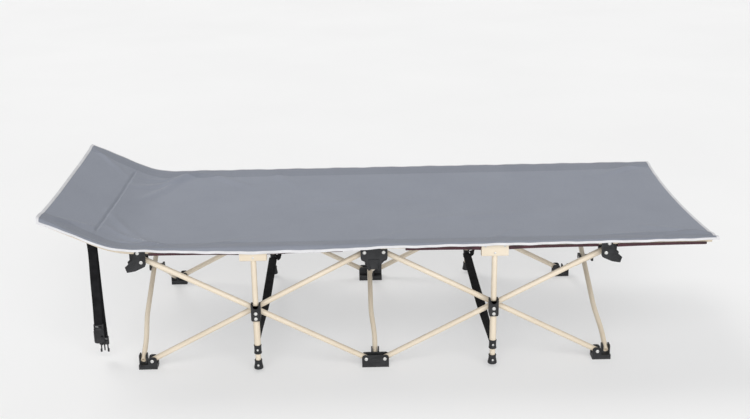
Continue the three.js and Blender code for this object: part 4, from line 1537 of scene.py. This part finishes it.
# %% Middle joints
for side_name, side in SIDES.items():
    node = f"top_joint_middle_{side_name}"
    face = outer_face(node, side)
    low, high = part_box(node)
    joint = moulded(node, on_outer_face(side, face), lip=0.0030)
    y_low, y_high = sorted((face - side * 0.0016, face + side * 0.0012))
    pieces = [joint]
    for x in (-0.014, 0.014):
        start = (COT_MIDDLE + x, HIGH_HEIGHT - 0.018)
        finish = (COT_MIDDLE + 0.8 * x, HIGH_HEIGHT - 0.042)
        pieces.append(slanted_rib(start, finish, y_low, y_high, 0.0028))
        tooth = block((COT_MIDDLE + x - 0.0035, y_low, low[2] - 0.003),
                      (COT_MIDDLE + x + 0.0035, y_high, low[2] + 0.010), 0.001)
        pieces.append(settled(tooth, "part", black_nylon))
    start = (COT_MIDDLE - 0.016, HIGH_HEIGHT - 0.015)
    finish = (COT_MIDDLE + 0.016, HIGH_HEIGHT - 0.015)
    pieces.append(slanted_rib(start, finish, y_low, y_high, 0.002))
    joint = joined(pieces, f"middle_joint_{side_name}_moulding")
    put(joint, f"middle_joint_{side_name}", [node])
    spots = [(Vector((COT_MIDDLE + x, face, HIGH_HEIGHT + 0.007)), outward(side), large_rivet)
             for x in (-0.027, 0.027)]
    rivets(f"middle_joint_{side_name}_rivets", f"middle_joint_{side_name}", spots)
print("middle joints: 2")

# %% [markdown]
# A slide bracket runs on its post where the side bars cross. Its neck is dipped, and two
# rivets hold it. Below it the sleeve ends in a black collar, and the post in a bell foot.

# %% Brackets, collars and feet
foot_low, foot_high = (Vector(one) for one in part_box("post_foot_tail_back"))
foot_profile = [
    (0.0, 0.0), (0.0118, 0.0), (0.0130, 0.0006), (0.0134, 0.0018), (0.0133, 0.0045), (0.0125, 0.0085),
    (0.0114, 0.0135), (0.0108, 0.0190), (0.0106, 0.0235), (0.0111, 0.0248), (0.0111, 0.0268),
    (0.0104, 0.0280), (0.0086, 0.0280), (0.0083, 0.0272), (0.0083, 0.0080), (0.0, 0.0080)
]
post_x = (foot_low.x + foot_high.x) / 2
foot_pattern = spun(foot_profile, (post_x, RAIL_SIDE, foot_low.z))
settled(foot_pattern, "foot_pattern", black_nylon, 50)
sleeve_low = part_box("sleeve_tube_tail_back")[0][2]
collar_profile = [
    (0.0088, -0.0030), (0.0106, -0.0030), (0.0112, -0.0022), (0.0112, 0.0015), (0.0106, 0.0022),
    (0.0104, 0.0120), (0.0106, 0.0205), (0.0112, 0.0212), (0.0112, 0.0236), (0.0104, 0.0246),
    (0.0097, 0.0246), (0.0097, 0.0003), (0.0088, 0.0003), (0.0088, -0.0030)
]
collar_pattern = spun(collar_profile, (post_x, RAIL_SIDE, sleeve_low))
settled(collar_pattern, "collar_pattern", black_nylon, 50)
for side_name, side in SIDES.items():
    for end_name, end in ENDS.items():
        corner = f"{end_name}_{side_name}"
        x = pivot(f"slide_bracket_{corner}_hinge").x
        place = mirror_at(end, side)
        node = f"slide_bracket_{corner}"
        face = outer_face(node, side)
        bracket = moulded(node, on_outer_face(side, face), lip=0.0022)
        collar = copied(collar_pattern, "part", place)
        put(
            joined([bracket, collar], f"slide_bracket_{corner}_moulding"), node, [node]
        )
        middle_z = (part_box(node)[0][2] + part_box(node)[1][2]) / 2
        collar_face = side * (RAIL_SIDE + 0.0103)
        spots = [(Vector((x, face, middle_z - 0.0015)), outward(side), large_rivet),
                 (Vector((x, face, middle_z - 0.0175)), outward(side), large_rivet),
                 (Vector((x, collar_face, sleeve_low + 0.0105)), outward(side), small_rivet)]
        rivets(f"slide_bracket_{corner}_rivets", node, spots)
        foot = copied(foot_pattern, f"bell_foot_{corner}", place)
        put(foot, f"post_{corner}", [f"post_foot_{corner}"])
        channel_face = outer_face(f"post_{corner}", side)
        spots = [
            (Vector((x, side * (RAIL_SIDE + 0.0114), foot_low.z + 0.0135)), outward(side), small_rivet),
            (Vector((x, channel_face, RAIL_HEIGHT - 0.0240)), outward(side), small_rivet)
        ]
        for aside in (-0.027, 0.027):
            near = Vector((x + aside, channel_face, RAIL_HEIGHT - 0.004))
            spots.append((near, outward(side), small_rivet))
            inner_y = side * (2 * RAIL_SIDE - abs(channel_face))
            far = Vector((x + aside, inner_y, RAIL_HEIGHT - 0.002))
            spots.append((far, outward(-side), small_rivet))
        rivets(f"post_{corner}_rivets", f"post_{corner}", spots)
bpy.data.objects.remove(foot_pattern)
bpy.data.objects.remove(collar_pattern)
print("brackets and feet: 4 of each")

# %% [markdown]
# Two cross bars turn on a hub where they pass. It has a large rivet on each side.

# %% Hubs of the cross scissors
for station in STATIONS:
    node = f"crossing_hub_{station}"
    low, high = (Vector(one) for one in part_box(node))
    half_wide = (high.x - low.x) / 2
    middle_x = (low.x + high.x) / 2
    hub = moulded(node, lambda centre, normal: (abs(normal.x) > 0.95
                                                and abs(abs(centre.x - middle_x) - half_wide) < 0.0005),
                  lip=0.0020)
    put(hub, node, [node])
    hub.name = f"scissor_hub_{station}_moulding"
    height = pivot("crossing_hub_middle_hinge").z
    rivets(
        f"scissor_hub_{station}_rivets", node,
        [
            (Vector((low.x, 0, height)), "-X", large_rivet),
            (Vector((high.x, 0, height)), "+X", large_rivet)
        ]
    )
bpy.data.objects.remove(large_rivet)
bpy.data.objects.remove(small_rivet)
print("hubs: 3")

# %% [markdown]
# A tie strap runs across under the bed at each pair of posts, flat at the back and turned on
# edge where it goes round the front sleeve. A second length stands beside the back post, with
# a slider where it is drawn tight.

# %% Tie straps
def slider(x, y, z):
    """A small moulded slider with the doubled end of the strap gathered on it."""
    pieces = [block((x - 0.0165, y - 0.0035, z - 0.006), (x + 0.0165, y + 0.0035, z - 0.002), 0.0012),
              block((x - 0.0165, y - 0.0035, z + 0.006), (x + 0.0165, y + 0.0035, z + 0.010), 0.0012),
              block((x - 0.0165, y - 0.0030, z - 0.004), (x - 0.0125, y + 0.0030, z + 0.008), 0.001),
              block((x + 0.0125, y - 0.0030, z - 0.004), (x + 0.0165, y + 0.0030, z + 0.008), 0.001)]
    return joined([settled(piece, "part", black_nylon) for piece in pieces], "slider")


def turned_on_edge(share):
    """The width's direction along a tie strap: flat, then turned up towards its front end."""
    turn = 1.15 * smooth_step(share, 0.35, 1)
    return math.cos(turn), 0, math.sin(turn)


def gently_twisted(share):
    """The width's direction along the upright length."""
    turn = 0.16 * math.sin(5 * share)
    return math.cos(turn), math.sin(turn), 0


for end_name in ENDS:
    node = f"tie_strap_{end_name}"
    low, high = (Vector(one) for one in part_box(node))
    x = pivot(f"slide_bracket_{end_name}_back_hinge").x
    reach = RAIL_SIDE - 0.0102
    base = low.z + 0.001
    route = [(x, reach - 0.002, base + 0.003), (x, reach * 0.5, base - 0.001), (x, 0, base - 0.003),
             (x, -reach * 0.5, base), (x, -reach + 0.006, base + 0.004)]
    line, length = smooth_line(route, 48)
    across = web_band(f"tie_strap_across_{end_name}", line, turned_on_edge, cup=0.0004)
    put(across, f"slide_bracket_{end_name}_front", [node])
    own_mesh(across)
    middle_x = high.x - WEB_WIDTH / 2
    tall = high.z - base
    route = [
        (middle_x, RAIL_SIDE + 0.0005, base + 0.012),
        (middle_x - 0.0005, RAIL_SIDE + 0.002, base + 0.3 * tall),
        (middle_x + 0.001, RAIL_SIDE + 0.001, base + 0.65 * tall), (middle_x, RAIL_SIDE + 0.001, high.z)
    ]
    line, length_up = smooth_line(route, 30)
    upright = web_band(f"tie_strap_upright_{end_name}", line, gently_twisted)
    loop_route = [
        (x + 0.012, reach - 0.004, base + 0.003), (x + 0.020, reach - 0.001, base + 0.006),
        (middle_x - 0.003, reach + 0.004, base + 0.011), (middle_x, RAIL_SIDE + 0.0005, base + 0.013)
    ]
    line, _ = smooth_line(loop_route, 14)
    loop = web_band("part", line, lambda share: (0.25, 0, 1), width=0.024)
    put(
        joined([upright, loop], f"tie_strap_upright_{end_name}"), f"post_{end_name}_back", []
    )
    ladder = slider(middle_x, RAIL_SIDE, high.z - 0.050)
    ladder.name = f"tie_strap_slider_{end_name}"
    put(ladder, f"post_{end_name}_back", [])
    tail_route = [
        (middle_x + 0.002, RAIL_SIDE - 0.0045, high.z - 0.040),
        (middle_x + 0.003, RAIL_SIDE - 0.0095, high.z - 0.052),
        (middle_x + 0.002, RAIL_SIDE - 0.0080, high.z - 0.068),
        (middle_x + 0.001, RAIL_SIDE - 0.0040, high.z - 0.074)
    ]
    line, _ = smooth_line(tail_route, 14)
    tail_end = web_band(f"tie_strap_tail_{end_name}", line, lambda share: (1, 0.12, 0), width=0.026)
    put(tail_end, f"post_{end_name}_back", [])
    print("tie strap", end_name, "across", round(length, 3), "upright", round(length_up, 3))

# %% [markdown]
# The studio is a pale floor that runs past the view under an even sky. The floor glows a
# little, as a lit backdrop does, so the shadow under the bed stays pale.

# %% Floor and sky
SKY_STRENGTH = 0.26
FLOOR_GLOW = 0.385
clear_selection()
bpy.ops.mesh.primitive_grid_add(x_subdivisions=8, y_subdivisions=8, size=60, location=(0, 0, 0))
floor = bpy.context.object
floor_finish, tree, shader = new_finish("pale_floor", (0.52, 0.52, 0.52), 0.75, specular=0.2)
place = place_from(tree)
painted(tree, shader, noise(tree, place, 0.8), (0.51, 0.51, 0.51), (0.53, 0.53, 0.53))
shader.inputs["Emission Color"].default_value = (1, 1, 1, 1)
shader.inputs["Emission Strength"].default_value = FLOOR_GLOW
settled(floor, "studio_floor", floor_finish)
bpy.context.scene.view_settings.view_transform = "Standard"
world = bpy.data.worlds.new("bright_sky")
bpy.context.scene.world = world
world.use_nodes = True
world.node_tree.nodes["Background"].inputs["Color"].default_value = (0.97, 0.98, 1.0, 1)
world.node_tree.nodes["Background"].inputs["Strength"].default_value = SKY_STRENGTH
print("floor is at height 0, sky strength", SKY_STRENGTH)

# %% [markdown]
# One lamp stands high behind the left end and draws the wrinkles in the cloth. A stronger,
# lower and wider one in front lights the tubes, the joints and the floor, and a weak one behind
# lifts the far side. All are broad, so no shadow has a hard edge.

# %% Lamps
def broad_lamp(name, azimuth, elevation, strength, spread, colour):
    """A lamp so far away that it lights everything alike. Azimuth 0 is in front, 90 on the right."""
    turn = math.radians(azimuth)
    rise = math.radians(elevation)
    away = Vector((math.sin(turn) * math.cos(rise), -math.cos(turn) * math.cos(rise), math.sin(rise)))
    aimed = away.to_track_quat("Z", "Y").to_euler()
    bpy.ops.object.light_add(type="SUN", location=away * 6, rotation=aimed)
    lamp = bpy.context.object
    lamp.name = name
    lamp.data.energy = strength
    lamp.data.angle = math.radians(spread)
    lamp.data.color = colour


broad_lamp("key_softbox", -135, 50, 0.95, 30, (1, 0.99, 0.975))
broad_lamp("low_front_softbox", 6, 26, 2.9, 75, (1, 0.995, 0.985))
broad_lamp("low_back_softbox", 172, 30, 0.5, 75, (0.985, 0.99, 1))
